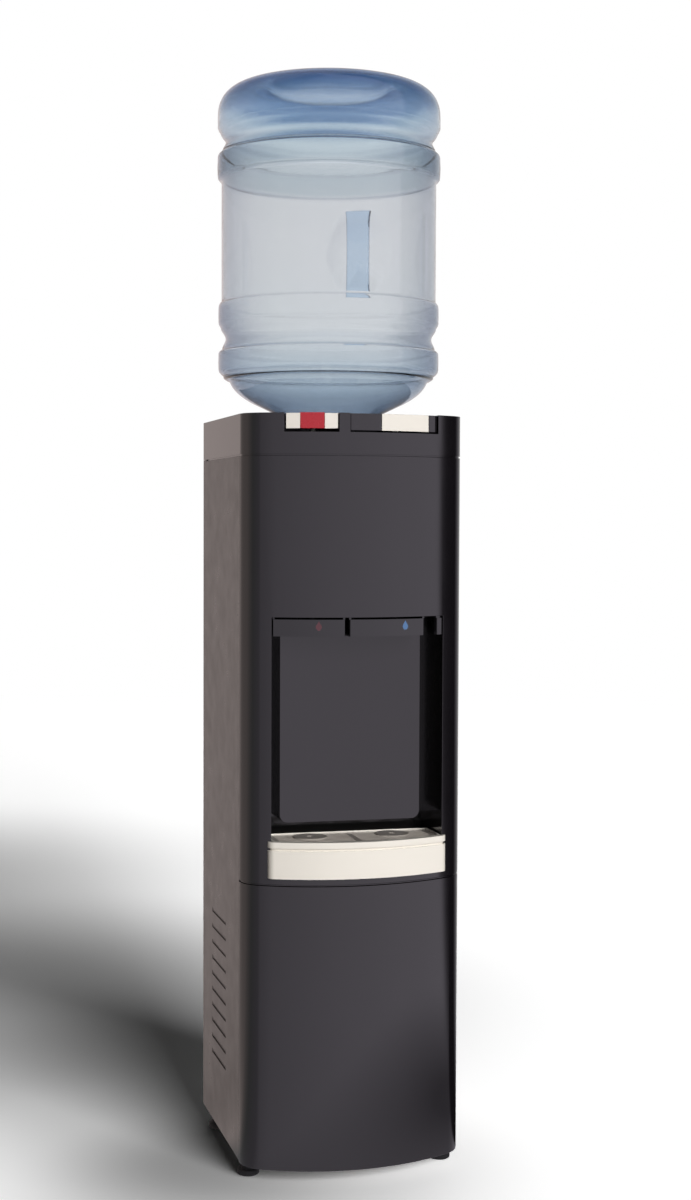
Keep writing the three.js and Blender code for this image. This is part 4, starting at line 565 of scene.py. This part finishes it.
def make_finishes():
    return {
        "charcoal_plastic": plastic("charcoal_plastic", (0.0066, 0.0056, 0.0070), 0.12, grain=0.000008),
        "black_gloss": plastic("black_gloss", (0.011, 0.0105, 0.0105), 0.1, grain=0.000006),
        "hood_grey": hood_plastic("hood_grey", (0.0045, 0.0042, 0.005)),
        "painted_steel": powder_coat("painted_steel", (0.041, 0.034, 0.0305), 0.3),
        "cream_plastic": plastic("cream_plastic", (0.845, 0.80, 0.72), 0.2, mottle=0.02),
        "red_plastic": plastic("red_plastic", (0.41, 0.006, 0.014), 0.26, mottle=0.05),
        "grille_grey": plastic("grille_grey", (0.40, 0.36, 0.32), 0.16, mottle=0.06),
        "galvanised": zinc_sheet("galvanised", (0.52, 0.53, 0.54)),
        "stainless_steel": metal("stainless_steel", (0.62, 0.62, 0.63), 0.25),
        "copper": metal("copper", (0.62, 0.28, 0.15), 0.3, stain=0.25),
        "black_steel": powder_coat("black_steel", (0.012, 0.012, 0.013), 0.4),
        "foot_rubber": rubber("foot_rubber", (0.012, 0.012, 0.013)),
        "white_plastic": plastic("white_plastic", (0.80, 0.80, 0.77), 0.38, mottle=0.02),
        "silicone": soft_tube("silicone", (0.75, 0.78, 0.78)),
        "foam": bead_foam("foam", (0.86, 0.86, 0.84)),
        "bottle_blue": bottle_blue("bottle_blue", BOTTLE_TINTS_AND_PAINTED_LIGHT),
        "bottle_bar": bottle_blue("bottle_bar", BAR_TINTS),
        "cap_blue": plastic("cap_blue", (0.03, 0.13, 0.42), 0.32),
    }


# ------------------------------------------------------------------ mesh helpers

SAME_POINT = 0.01 * MM                  # points that are nearer than this become one
SAME_PLACE = 0.02 * MM                  # how well an edge has to lie on a line to be taken for it
FLAT_ANGLE = math.radians(0.6)          # faces that meet flatter than this become one
SHARP_ANGLE = math.radians(30)          # edges that are sharper than this get rounded


def new_object(name, mesh):
    piece = bpy.data.objects.new(name, mesh)
    bpy.context.scene.collection.objects.link(piece)
    return piece


def mesh_object(name, corners, faces):
    mesh = bpy.data.meshes.new(name)
    mesh.from_pydata(corners, [], faces)
    mesh.update()
    return new_object(name, mesh)


def shape_object(name, shape):
    mesh = bpy.data.meshes.new(name)
    shape.to_mesh(mesh)
    shape.free()
    return new_object(name, mesh)


def closed_object(name, shape):
    """A new object from closed bodies, with their faces turned outwards."""
    bmesh.ops.recalc_face_normals(shape, faces=shape.faces)
    return shape_object(name, shape)


def applied(piece):
    """The piece with its modifiers made real."""
    graph = bpy.context.evaluated_depsgraph_get()
    mesh = bpy.data.meshes.new_from_object(piece.evaluated_get(graph), depsgraph=graph)
    old = piece.data
    piece.modifiers.clear()
    piece.data = mesh
    mesh.name = old.name
    if old.users == 0:
        bpy.data.meshes.remove(old)
    return piece


def smooth(piece, angle=35):
    mesh = piece.data
    mesh.shade_smooth()
    mesh.set_sharp_from_angle(angle=math.radians(angle))
    return piece


def bevelled(piece, width, segments=2):
    """Rounds the sharp edges and keeps the flat faces flat in their shading."""
    bevel = piece.modifiers.new("bevel", "BEVEL")
    bevel.width = width
    bevel.segments = segments
    bevel.limit_method = "ANGLE"
    bevel.angle_limit = SHARP_ANGLE
    bevel.use_clamp_overlap = True
    bevel.miter_outer = "MITER_ARC"
    weighted = piece.modifiers.new("weighted", "WEIGHTED_NORMAL")
    weighted.keep_sharp = True
    applied(piece)
    return piece


def finish_piece(piece, node):
    """Gives a piece the finish of the node that it stands for, and lets it move with that node's body."""
    slot = slot_of[node]
    piece.data.materials.clear()
    piece.data.materials.append(finishes[slot])
    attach(piece, body_of[node])
    return piece


def stand_for(piece, node):
    """The piece takes the CAD node's place in the picture."""
    finish_piece(piece, node)
    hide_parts(node)
    return piece


HOOD_CORNER = 2.2 * MM


def round_front_uprights(shape):
    """Rounds the outermost upright edges of a hood's front, one at each end."""
    ends = [min(v.co.x for v in shape.verts), max(v.co.x for v in shape.verts)]
    chosen = []
    for end in ends:
        column = [e for e in shape.edges if all(abs(v.co.x - end) < SAME_PLACE for v in e.verts)]
        upright = [e for e in column if abs(e.verts[0].co.y - e.verts[1].co.y) < SAME_PLACE]
        front = min(e.verts[0].co.y for e in upright)
        chosen += [e for e in upright if e.verts[0].co.y < front + SAME_PLACE]
    bmesh.ops.bevel(shape, geom=chosen, offset=HOOD_CORNER, segments=6, profile=0.5, affect="EDGES")


def fine_copy(node, width, segments=2, change=None):
    """A copy of a CAD node with whole flat faces, a change to its shape if any, and rounded edges."""
    copy = bmesh.new()
    copy.from_mesh(nodes[node].data)
    bmesh.ops.remove_doubles(copy, verts=copy.verts, dist=SAME_POINT)
    bmesh.ops.dissolve_limit(copy, angle_limit=FLAT_ANGLE, verts=copy.verts, edges=copy.edges)
    if change:
        change(copy)
    piece = shape_object(node + "_shell", copy)
    piece.data.shade_smooth()
    bevelled(piece, width, segments)
    return stand_for(piece, node)


SAME_ANGLE = 0.002                      # in radians, about a round node's axis


def meridian(node):
    """The [radius, z] line of a round CAD node, walked from mesh edge to mesh edge, and whether it closes."""
    low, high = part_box(node)
    centre = ((low.x + high.x) / 2, (low.y + high.y) / 2)
    mesh = nodes[node].data
    polar = []
    for vertex in mesh.vertices:
        x, y = vertex.co.x - centre[0], vertex.co.y - centre[1]
        polar.append((math.hypot(x, y), vertex.co.z, math.atan2(y, x)))
    start_angle = max(polar)[2]
    keys = []
    for radius, z, angle in polar:
        on_line = abs(math.remainder(angle - start_angle, 2 * math.pi)) < SAME_ANGLE
        keys.append((round(radius, 5), round(z, 5)) if on_line else None)
    links = {}
    for edge in mesh.edges:
        first, second = keys[edge.vertices[0]], keys[edge.vertices[1]]
        if first and second and first != second:
            links.setdefault(first, set()).add(second)
            links.setdefault(second, set()).add(first)
    ends = [key for key, near in links.items() if len(near) == 1]
    line = [min(ends or links, key=lambda key: (key[1], key[0]))]
    while True:
        onward = [key for key in links[line[-1]] if key not in line]
        if not onward:
            break
        line.append(onward[0])
    return line, not ends, centre


def turned_copy(node, segments, bevel=0):
    """A finer copy of a round CAD node."""
    line, closed, centre = meridian(node)
    if not closed:
        line = [(0, line[0][1])] + line + [(0, line[-1][1])]
    piece = lathe(node + "_shell", line, segments, centre, closed)
    if bevel:
        bevelled(piece, bevel, 3)
    smooth(piece, 40)
    return stand_for(piece, node)


def lathe(name, profile, segments, centre, closed=False):
    """A closed body turned about a vertical axis from [radius, z] points; ends on the axis are poles."""
    shape = bmesh.new()
    rings = []
    for radius, z in profile:
        count = segments if radius > SAME_POINT else 1
        ring = []
        for i in range(count):
            angle = 2 * math.pi * i / count
            x, y = centre[0] + radius * math.cos(angle), centre[1] + radius * math.sin(angle)
            ring.append(shape.verts.new((x, y, z)))
        rings.append(ring)
    for lower, upper in zip(rings, rings[1:] + (rings[:1] if closed else [])):
        for i in range(segments):
            j = (i + 1) % segments
            near = [lower[k % len(lower)] for k in (i, j)]
            far = [upper[k % len(upper)] for k in (j, i)]
            unique = list(dict.fromkeys(near + far))
            if len(unique) > 2:
                shape.faces.new(unique)
    return closed_object(name, shape)


# ------------------------------------------------------------------ water bottle

BOTTLE_SEGMENTS = 160
BOTTLE_WALL = 2.2 * MM


def ease(start, end, steps):
    """Points that swing smoothly from one [radius, z] to the next."""
    (r0, z0), (r1, z1) = start, end
    points = []
    for i in range(1, steps + 1):
        t = i / steps
        blend = (1 - math.cos(math.pi * t)) / 2
        points.append((r0 + (r1 - r0) * blend, z0 + (z1 - z0) * t))
    return points


def groove_line(band, bottom, low, middle, high):
    """A groove between two bands: a steep ledge below, a round floor and a slope above."""
    depth = band - bottom
    points = [(band, low), (band - 0.05 * depth, low + 1.2), (band - 0.22 * depth, low + 2.7)]
    points += [(band - 0.5 * depth, low + 4.4)]
    points += ease((band - 0.5 * depth, low + 4.4), (bottom, middle), 7)
    points += ease((bottom, middle), (band - 0.3 * depth, high - 5), 7)
    points += [(band - 0.1 * depth, high - 2.4), (band, high)]
    return points


def bottle_outline():
    """The bottle's outer line from its mouth up to the middle of its base.

    The numbers are mm from the axis and mm above the cover; the last line turns them into metres.
    """
    neck, neck_end, neck_top = 27.5, -76, -17
    cone_start, cone_end, shoulder_end = (34, -7.9), (92, 19.4), (121, 46)
    pull = (116, 31.5)
    band, upper, groove, wall = 134.7, 135.8, 126, 131
    flat, crown_base, height, punt = 86, 365, 405.5, 10
    # neck, and the cone that rests on the seat
    points = [(neck - 1.5, neck_end), (neck, neck_end + 1.5), (neck, neck_top - 8), (neck, neck_top)]
    points += ease((neck, neck_top), cone_start, 5)
    cone_out, cone_up = cone_end[0] - cone_start[0], cone_end[1] - cone_start[1]
    points += [(cone_start[0] + cone_out * i / 6, cone_start[1] + cone_up * i / 6) for i in range(1, 7)]
    # shoulder, and the small bead above it
    for i in range(1, 9):
        t = i / 8
        a, b, c = (1 - t) ** 2, 2 * t * (1 - t), t * t
        points.append(tuple(a * p + b * q + c * r for p, q, r in zip(cone_end, pull, shoulder_end)))
    points += [(124.4, 47.3), (127.6, 49.4), (128.6, 50.4), (128.6, 51.3), (128.4, 52)]
    points += [(129.4, 53.3), (131.6, 55)]
    # lower bands
    points += [(band - 0.7, 57.8), (band, 61), (band + 0.2, 70), (band, 78)]
    points += groove_line(band, groove, 80, 98, 117)
    points += [(band, 120), (band + 0.2, 126), (band, 135), (band - 0.3, 138.4)]
    # plain wall, with points close enough together to take the hollow
    points += [(wall + 2, 140.6), (wall + 0.6, 141.6), (wall, 143.4), (wall, 145)]
    points += [(wall, 145 + 140 * i / 28) for i in range(1, 29)]
    # upper bands
    points += [(wall, 288), (wall + 0.7, 289.6), (upper - 1.6, 291.4), (upper - 0.3, 293), (upper, 296)]
    points += [(upper + 0.4, 305), (upper, 315)]
    points += groove_line(upper, groove, 318, 336, 354)
    # crown, and the base that is pushed in
    points += [(upper, crown_base)]
    for i in range(1, 15):
        angle = math.pi / 2 * i / 14
        across, up = max(0, math.cos(angle)) ** 0.8, math.sin(angle) ** 0.8
        points.append((flat + (upper - flat) * across, crown_base + (height - crown_base) * up))
    points += [(flat - 6, height - 0.6), (flat - 12, height - 3), (flat - 18, height - 6.5)]
    points += [(flat - 26, height - 8.6), (flat - 38, height - punt), (0, height - punt)]
    return [(radius * MM, COVER_TOP + z * MM) for radius, z in points]


GRIP_ANGLE = math.radians(32)           # from the rear towards +X
GRIP_LOW, GRIP_HIGH = 164 * MM, 274 * MM
GRIP_OUT = 124.5 * MM                   # from the bottle's axis to the bar's middle
GRIP_HALF_WIDTH, GRIP_HALF_DEPTH = 15 * MM, 5 * MM
GRIP_FLARE = 0.15                       # how much wider the bar is at its ends
GRIP_SQUARENESS = 0.7                   # 1 is an ellipse, less is nearer to a box
SCOOP = (72 * MM, 30 * MM, 78 * MM)     # half width, depth and half height of the hollow behind the bar
SCOOP_OUT = 137 * MM                    # from the bottle's axis to the scoop's rim


def grip_frame():
    """Unit vectors at the grip: outwards and sideways, with the height of its middle."""
    outward = Vector((math.sin(GRIP_ANGLE), math.cos(GRIP_ANGLE), 0))
    sideways = Vector((outward.y, -outward.x, 0))
    return outward, sideways, COVER_TOP + (GRIP_LOW + GRIP_HIGH) / 2


def press_grip_hollow(mesh):
    """Presses the wall in behind the grip, as a smooth scoop."""
    outward, sideways, height = grip_frame()
    width, depth, tall = SCOOP
    for vertex in mesh.vertices:
        from_axis = Vector((vertex.co.x, vertex.co.y - AXIS_Y, 0))
        out = from_axis.dot(outward)
        side = from_axis.dot(sideways)
        if out <= 0:
            continue
        inside = 1 - (side / width) ** 2 - ((vertex.co.z - height) / tall) ** 2
        if inside <= 0:
            continue
        wall = SCOOP_OUT - depth * inside ** 2
        if wall < out:
            vertex.co -= outward * (out - wall)


def bottle_shell():
    """The whole bottle: its outline turned about the axis, pressed in behind the bar, with a thin wall."""
    bottle = lathe("water_bottle_shell", bottle_outline(), BOTTLE_SEGMENTS, (0, AXIS_Y))
    press_grip_hollow(bottle.data)
    bottle.data.shade_smooth()
    wall = bottle.modifiers.new("wall", "SOLIDIFY")
    wall.thickness = BOTTLE_WALL
    wall.offset = -1
    applied(bottle)
    smooth(bottle, 50)
    return stand_for(bottle, "water_bottle")


def bottle_grip():
    """The upright bar across the hollow: a flattened tube that swells into the wall at both ends."""
    outward, sideways, _ = grip_frame()
    stations, around = 28, 24
    corners, faces = [], []
    for i in range(stations + 1):
        t = i / stations
        z = COVER_TOP + GRIP_LOW + (GRIP_HIGH - GRIP_LOW) * t
        flare = 1 + GRIP_FLARE * (2 * abs(t - 0.5)) ** 6
        for j in range(around):
            angle = 2 * math.pi * j / around
            across, through = math.cos(angle), math.sin(angle)
            across = math.copysign(abs(across) ** GRIP_SQUARENESS, across) * GRIP_HALF_WIDTH * flare
            through = math.copysign(abs(through) ** GRIP_SQUARENESS, through) * GRIP_HALF_DEPTH
            point = outward * (GRIP_OUT + through) + sideways * across
            corners.append((point.x, AXIS_Y + point.y, z))
    for i in range(stations):
        for j in range(around):
            k = (j + 1) % around
            faces.append((i * around + j, i * around + k, (i + 1) * around + k, (i + 1) * around + j))
    faces.append(tuple(reversed(range(around))))
    faces.append(tuple(stations * around + j for j in range(around)))
    grip = mesh_object("bottle_grip", corners, faces)
    smooth(grip, 50)
    finish_piece(grip, "water_bottle")
    grip.data.materials[0] = finishes["bottle_bar"]


# ------------------------------------------------------------------ side panels

LOUVRES = 10
LOUVRE_LOW, LOUVRE_HIGH = 108 * MM, 286 * MM        # middles of the lowest and highest slots
LOUVRE_SPAN = (-27.5 * MM, 59.5 * MM)               # front and rear end, from the bottle's axis
SLOT_HEIGHT = 5.5 * MM
LOUVRE_DEPTH = 1.3 * MM
LOUVRE_ROOT = 1.5 * MM                  # the blade leaves the sheet this far above its slot
LOUVRE_LIP = 0.1 * MM                   # and its free lip ends this far above the slot's lower edge
LOUVRE_ROUNDING = 9 * MM                # length over which a louvre sinks in at each end
LOUVRE_INSET = 0.02 * MM                # keeps a blade's skin off the sheet's
SHEET = 1.2 * MM
BLADE = 0.9 * SHEET
BLADE_DROP = 0.2 * MM                   # the blade's back starts this far below its skin
FLANGE = 10 * MM
STEP_BEHIND = 100 * MM                  # this far behind the bottle's axis the plate reaches its full height
LEDGE_BELOW = 49 * MM                   # before that it ends this far below the cover's top


def add_box(shape, low, high):
    places = [(x, y, z) for x in (low[0], high[0]) for y in (low[1], high[1]) for z in (low[2], high[2])]
    corners = [shape.verts.new(place) for place in places]
    for face in ((0, 1, 3, 2), (4, 6, 7, 5), (0, 4, 5, 1), (2, 3, 7, 6), (0, 2, 6, 4), (1, 5, 7, 3)):
        shape.faces.new([corners[i] for i in face])


def add_strip(shape, rings):
    """A closed body through rings of the same number of points, with flat ends."""
    rows = [[shape.verts.new(point) for point in ring] for ring in rings]
    count = len(rows[0])
    for near, far in zip(rows, rows[1:]):
        for j in range(count):
            k = (j + 1) % count
            shape.faces.new((near[j], near[k], far[k], far[j]))
    shape.faces.new(list(reversed(rows[0])))
    shape.faces.new(rows[-1])


def louvre_section(side, outer, bottom, depth):
    """The pressed blade's section in x and z: it curves in from the sheet above its slot to a free lip."""
    top = bottom + SLOT_HEIGHT + LOUVRE_ROOT
    tip = bottom + LOUVRE_LIP
    steps = 7
    skin, back = [], []
    for i in range(steps + 1):
        t = i / steps
        into = depth * t * (2 - t) ** 0.5
        z = top + (tip - top) * t
        skin.append((side * (outer - into), z))
        back.append((side * (outer - into - BLADE), z - BLADE_DROP * (1 - t)))
    return skin + list(reversed(back))


def side_panel(node, side):
    """Sheet-steel side: a plate with slots, each before a louvre that is pressed in and has rounded ends."""
    low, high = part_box(node)
    outer = HALF_WIDTH
    inner = outer - SHEET
    back_edge = high.y
    flange_front = back_edge - SHEET
    step_y = AXIS_Y + STEP_BEHIND
    ledge = COVER_TOP - LEDGE_BELOW
    pitch = (LOUVRE_HIGH - LOUVRE_LOW) / (LOUVRES - 1)
    front, rear = (AXIS_Y + y for y in LOUVRE_SPAN)
    shape = bmesh.new()

    bottoms = [LOUVRE_LOW + i * pitch - SLOT_HEIGHT / 2 for i in range(LOUVRES)]
    slotted_plate(shape, side, inner, outer, (low.y, back_edge), (low.z, ledge), (front, rear), bottoms)
    upper = sorted((side * inner, side * outer))
    add_box(shape, (upper[0], step_y, ledge), (upper[1], back_edge, high.z))
    flange = sorted((side * (inner - FLANGE), side * inner))
    add_box(shape, (flange[0], flange_front, low.z), (flange[1], back_edge, high.z))
    for bottom in bottoms:
        rings = []
        stations = 30
        for i in range(stations + 1):
            y = front + (rear - front) * i / stations
            end = min(y - front, rear - y) / LOUVRE_ROUNDING
            sunk = math.sqrt(max(0.0, 1 - (1 - min(1.0, end)) ** 2))
            section = louvre_section(side, outer - LOUVRE_INSET, bottom, LOUVRE_DEPTH * sunk)
            rings.append([(x, y, z) for x, z in section])
        add_strip(shape, rings)
    piece = smooth(closed_object(node + "_shell", shape), 40)
    return stand_for(piece, node)


def slotted_plate(shape, side, inner, outer, span_y, span_z, slot_y, bottoms):
    """The plate as two skins joined round its edge and round each slot."""
    rows = [span_z[0]]
    for bottom in bottoms:
        rows += [bottom, bottom + SLOT_HEIGHT]
    rows.append(span_z[1])
    columns = [span_y[0], slot_y[0], slot_y[1], span_y[1]]
    skins = [[[shape.verts.new((side * x, y, z)) for y in columns] for z in rows] for x in (outer, inner)]
    holes = {(2 * i + 1, 1) for i in range(len(bottoms))}
    cells = {(r, c) for r in range(len(rows) - 1) for c in range(3)} - holes
    for r, c in cells:
        for skin in skins:
            shape.faces.new((skin[r][c], skin[r][c + 1], skin[r + 1][c + 1], skin[r + 1][c]))
        for (dr, dc), (p, q) in {
            (-1, 0): ((r, c), (r, c + 1)), (1, 0): ((r + 1, c), (r + 1, c + 1)),
            (0, -1): ((r, c), (r + 1, c)), (0, 1): ((r, c + 1), (r + 1, c + 1)),
        }.items():
            if (r + dr, c + dc) not in cells:
                edge = [(0, p), (0, q), (1, q), (1, p)]
                shape.faces.new([skins[skin][row][column] for skin, (row, column) in edge])


# ------------------------------------------------------------------ pieces

def build_covers():
    fine_copy("front_lower_panel", 0.9 * MM, 3)
    fine_copy("front_upper_panel", 0.9 * MM, 3)
    fine_copy("top_cover", 0.8 * MM, 3)
    side_panel("left_side_panel", -1)
    side_panel("right_side_panel", 1)
    fine_copy("back_panel", 0.3 * MM)


def build_levers():
    fine_copy("hot_lever", 0.5 * MM)
    fine_copy("cold_lever", 0.5 * MM)
    fine_copy("hot_lever_cap", 0.6 * MM, 3)
    fine_copy("cold_lever_cap", 0.6 * MM, 3)
    fine_copy("hot_child_lock", 0.4 * MM, 3)


TRAY_BOW = 244.5 * MM                   # radius of the fascia in plan, about a point behind the axis
TRAY_BOW_BEHIND = 69 * MM
TRAY_END = 10 * MM                      # radius of the fascia's ends
GROOVE, GROOVE_DEEPER = 1.2 * MM, 1.6 * MM
GROOVE_BELOW = (6.5 * MM, 10.5 * MM)    # the groove's place below the rim
GROOVE_RANGE = 12 * MM                  # how far behind the ends' middles the fascia's groove reaches
GROOVE_NEAR = 0.2 * MM                  # points this near the groove's floor belong to it


def deepen_groove(shape):
    """Cuts the groove below the tray's lip deeper into the fascia."""
    top = max(vertex.co.z for vertex in shape.verts)
    centre = Vector((0, AXIS_Y + TRAY_BOW_BEHIND))
    half_width = max(vertex.co.x for vertex in shape.verts)
    reach = TRAY_BOW - TRAY_END
    end_x = half_width - TRAY_END
    end_y = centre.y - math.sqrt(reach ** 2 - end_x ** 2)
    for vertex in shape.verts:
        if not GROOVE_BELOW[0] < top - vertex.co.z < GROOVE_BELOW[1]:
            continue
        place = vertex.co.to_2d()
        around, radius = centre, TRAY_BOW
        if abs(place.x) > end_x * TRAY_BOW / reach:
            around, radius = Vector((math.copysign(end_x, place.x), end_y)), TRAY_END
        outward = place - around
        if place.y < end_y + GROOVE_RANGE and abs(radius - outward.length - GROOVE) < GROOVE_NEAR:
            inward = outward.normalized() * GROOVE_DEEPER
            vertex.co.x -= inward.x
            vertex.co.y -= inward.y


def build_bay():
    fine_copy("bay_liner", 0.6 * MM)
    fine_copy("tap_column", 2.0 * MM, 5)
    fine_copy("hot_tap_hood", 0.5 * MM, 3, change=round_front_uprights)
    fine_copy("cold_tap_hood", 0.5 * MM, 3, change=round_front_uprights)
    fine_copy("hood_end_block", 0.5 * MM, 3, change=round_front_uprights)
    fine_copy("drip_tray", 0.8 * MM, 3, change=deepen_groove)
    fine_copy("drip_grille", 0.3 * MM)


SPRING_TURNS, SPRING_WIRE, SPRING_SIDES = 4, 0.8 * MM, 10          # the wire's size is its radius
TURN_STEPS = 24


def tap_spring(node):
    """A round-wire compression spring in the CAD node's place, moving with that node's body."""
    low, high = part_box(node)
    centre = middle(node)
    radius = (high.x - low.x) / 2 - SPRING_WIRE
    height = high.z - low.z - 2 * SPRING_WIRE
    rings = []
    steps = SPRING_TURNS * TURN_STEPS
    for i in range(steps + 1):
        t = i / steps
        angle = 2 * math.pi * SPRING_TURNS * t
        z = low.z + SPRING_WIRE + height * t
        out = Vector((math.cos(angle), math.sin(angle), 0))
        ring = []
        for j in range(SPRING_SIDES):
            turn = 2 * math.pi * j / SPRING_SIDES
            place = out * (radius + SPRING_WIRE * math.cos(turn))
            ring.append((centre.x + place.x, centre.y + place.y, z + SPRING_WIRE * math.sin(turn)))
        rings.append(ring)
    shape = bmesh.new()
    add_strip(shape, rings)
    spring = smooth(closed_object(node + "_wire", shape), 60)
    stand_for(spring, node)
    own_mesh(spring)


def build_round_pieces():
    turned_copy("bottle_seat", 128, 0.4 * MM)
    turned_copy("bottle_cap", 72, 0.3 * MM)
    for corner in ("front_left", "front_right", "rear_left", "rear_right"):
        turned_copy("foot_" + corner, 48, 0.4 * MM)
    for side in ("hot", "cold"):
        turned_copy(side + "_tap_plunger", 40)
        turned_copy(side + "_push_rod", 32)
        tap_spring(side + "_tap_spring")


# The condenser behind the back panel: runs of tube, and the two straps that hold them.
RUN_PITCH = 40 * MM
HALF_RUN = 78 * MM
INLET_X = 96 * MM
TUBE_Y = AXIS_Y + 110.5 * MM
TUBE_RADIUS = 2.5 * MM
TUBE_SIDES = 12
BEND_STEPS = 16
STRAP_X, STRAP_WIDTH, STRAP_DEPTH = 86 * MM, 8 * MM, 3 * MM
STRAP_PAST = 14 * MM                    # how far the straps reach past the lowest and highest runs
STRAP_FOOT = 10 * MM
STRAP_GRIP = 0.6 * MM                   # how far the tube sinks into the straps


def condenser_path(runs, lowest):
    """Points of the tube's middle line in x and z, each with its direction."""
    bend = RUN_PITCH / 2
    path = []
    for i in range(runs):
        side = 1 if i % 2 == 0 else -1
        z = lowest + i * RUN_PITCH
        path.append((INLET_X if i == 0 else side * HALF_RUN, z, -side, 0))
        path.append((-side * HALF_RUN, z, -side, 0))
        if i == runs - 1:
            break
        for k in range(1, BEND_STEPS):
            angle = math.pi * (k / BEND_STEPS - 0.5)
            x = -side * (HALF_RUN + bend * math.cos(angle))
            path.append((x, z + bend + bend * math.sin(angle), side * math.sin(angle), math.cos(angle)))
    return path


def condenser(node):
    """Round tube with round bends, on two flat straps with a foot at each end."""
    low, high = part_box(node)
    runs = round((high.z - low.z - 2 * STRAP_PAST) / RUN_PITCH) + 1
    rings = []
    for x, z, along_x, along_z in condenser_path(runs, low.z + STRAP_PAST):
        ring = []
        for j in range(TUBE_SIDES):
            turn = 2 * math.pi * j / TUBE_SIDES
            out = TUBE_RADIUS * math.cos(turn)
            ring.append((x - out * along_z, TUBE_Y + TUBE_RADIUS * math.sin(turn), z + out * along_x))
        rings.append(ring)
    shape = bmesh.new()
    add_strip(shape, rings)
    rear = TUBE_Y - TUBE_RADIUS + STRAP_GRIP
    front = rear - STRAP_DEPTH
    for middle_x in (-STRAP_X, STRAP_X):
        left, right = middle_x - STRAP_WIDTH / 2, middle_x + STRAP_WIDTH / 2
        add_box(shape, (left, front, low.z), (right, rear, high.z))
        for bottom in (low.z, high.z - STRAP_FOOT):
            add_box(shape, (left, low.y, bottom), (right, front, bottom + STRAP_FOOT))
    piece = smooth(closed_object(node + "_round", shape), 40)
    return stand_for(piece, node)


def build_back():
    condenser("condenser_coil")
    fine_copy("switch_plate", 0.5 * MM, 2)
    fine_copy("hot_power_switch", 0.6 * MM, 3)
    fine_copy("cold_power_switch", 0.6 * MM, 3)
    fine_copy("power_inlet", 0.5 * MM, 2)


def dress_remaining():
    """CAD nodes that stay as they are get their finish, and smooth shading on round stretches."""
    for name, node in nodes.items():
        if node.hide_render:
            continue
        node.data.materials.clear()
        node.data.materials.append(finishes[slot_of[name]])
        smooth(node)


make_studio()
finishes = make_finishes()
bottle_shell()
bottle_grip()
build_covers()
build_levers()
build_bay()
build_round_pieces()
build_back()
dress_remaining()
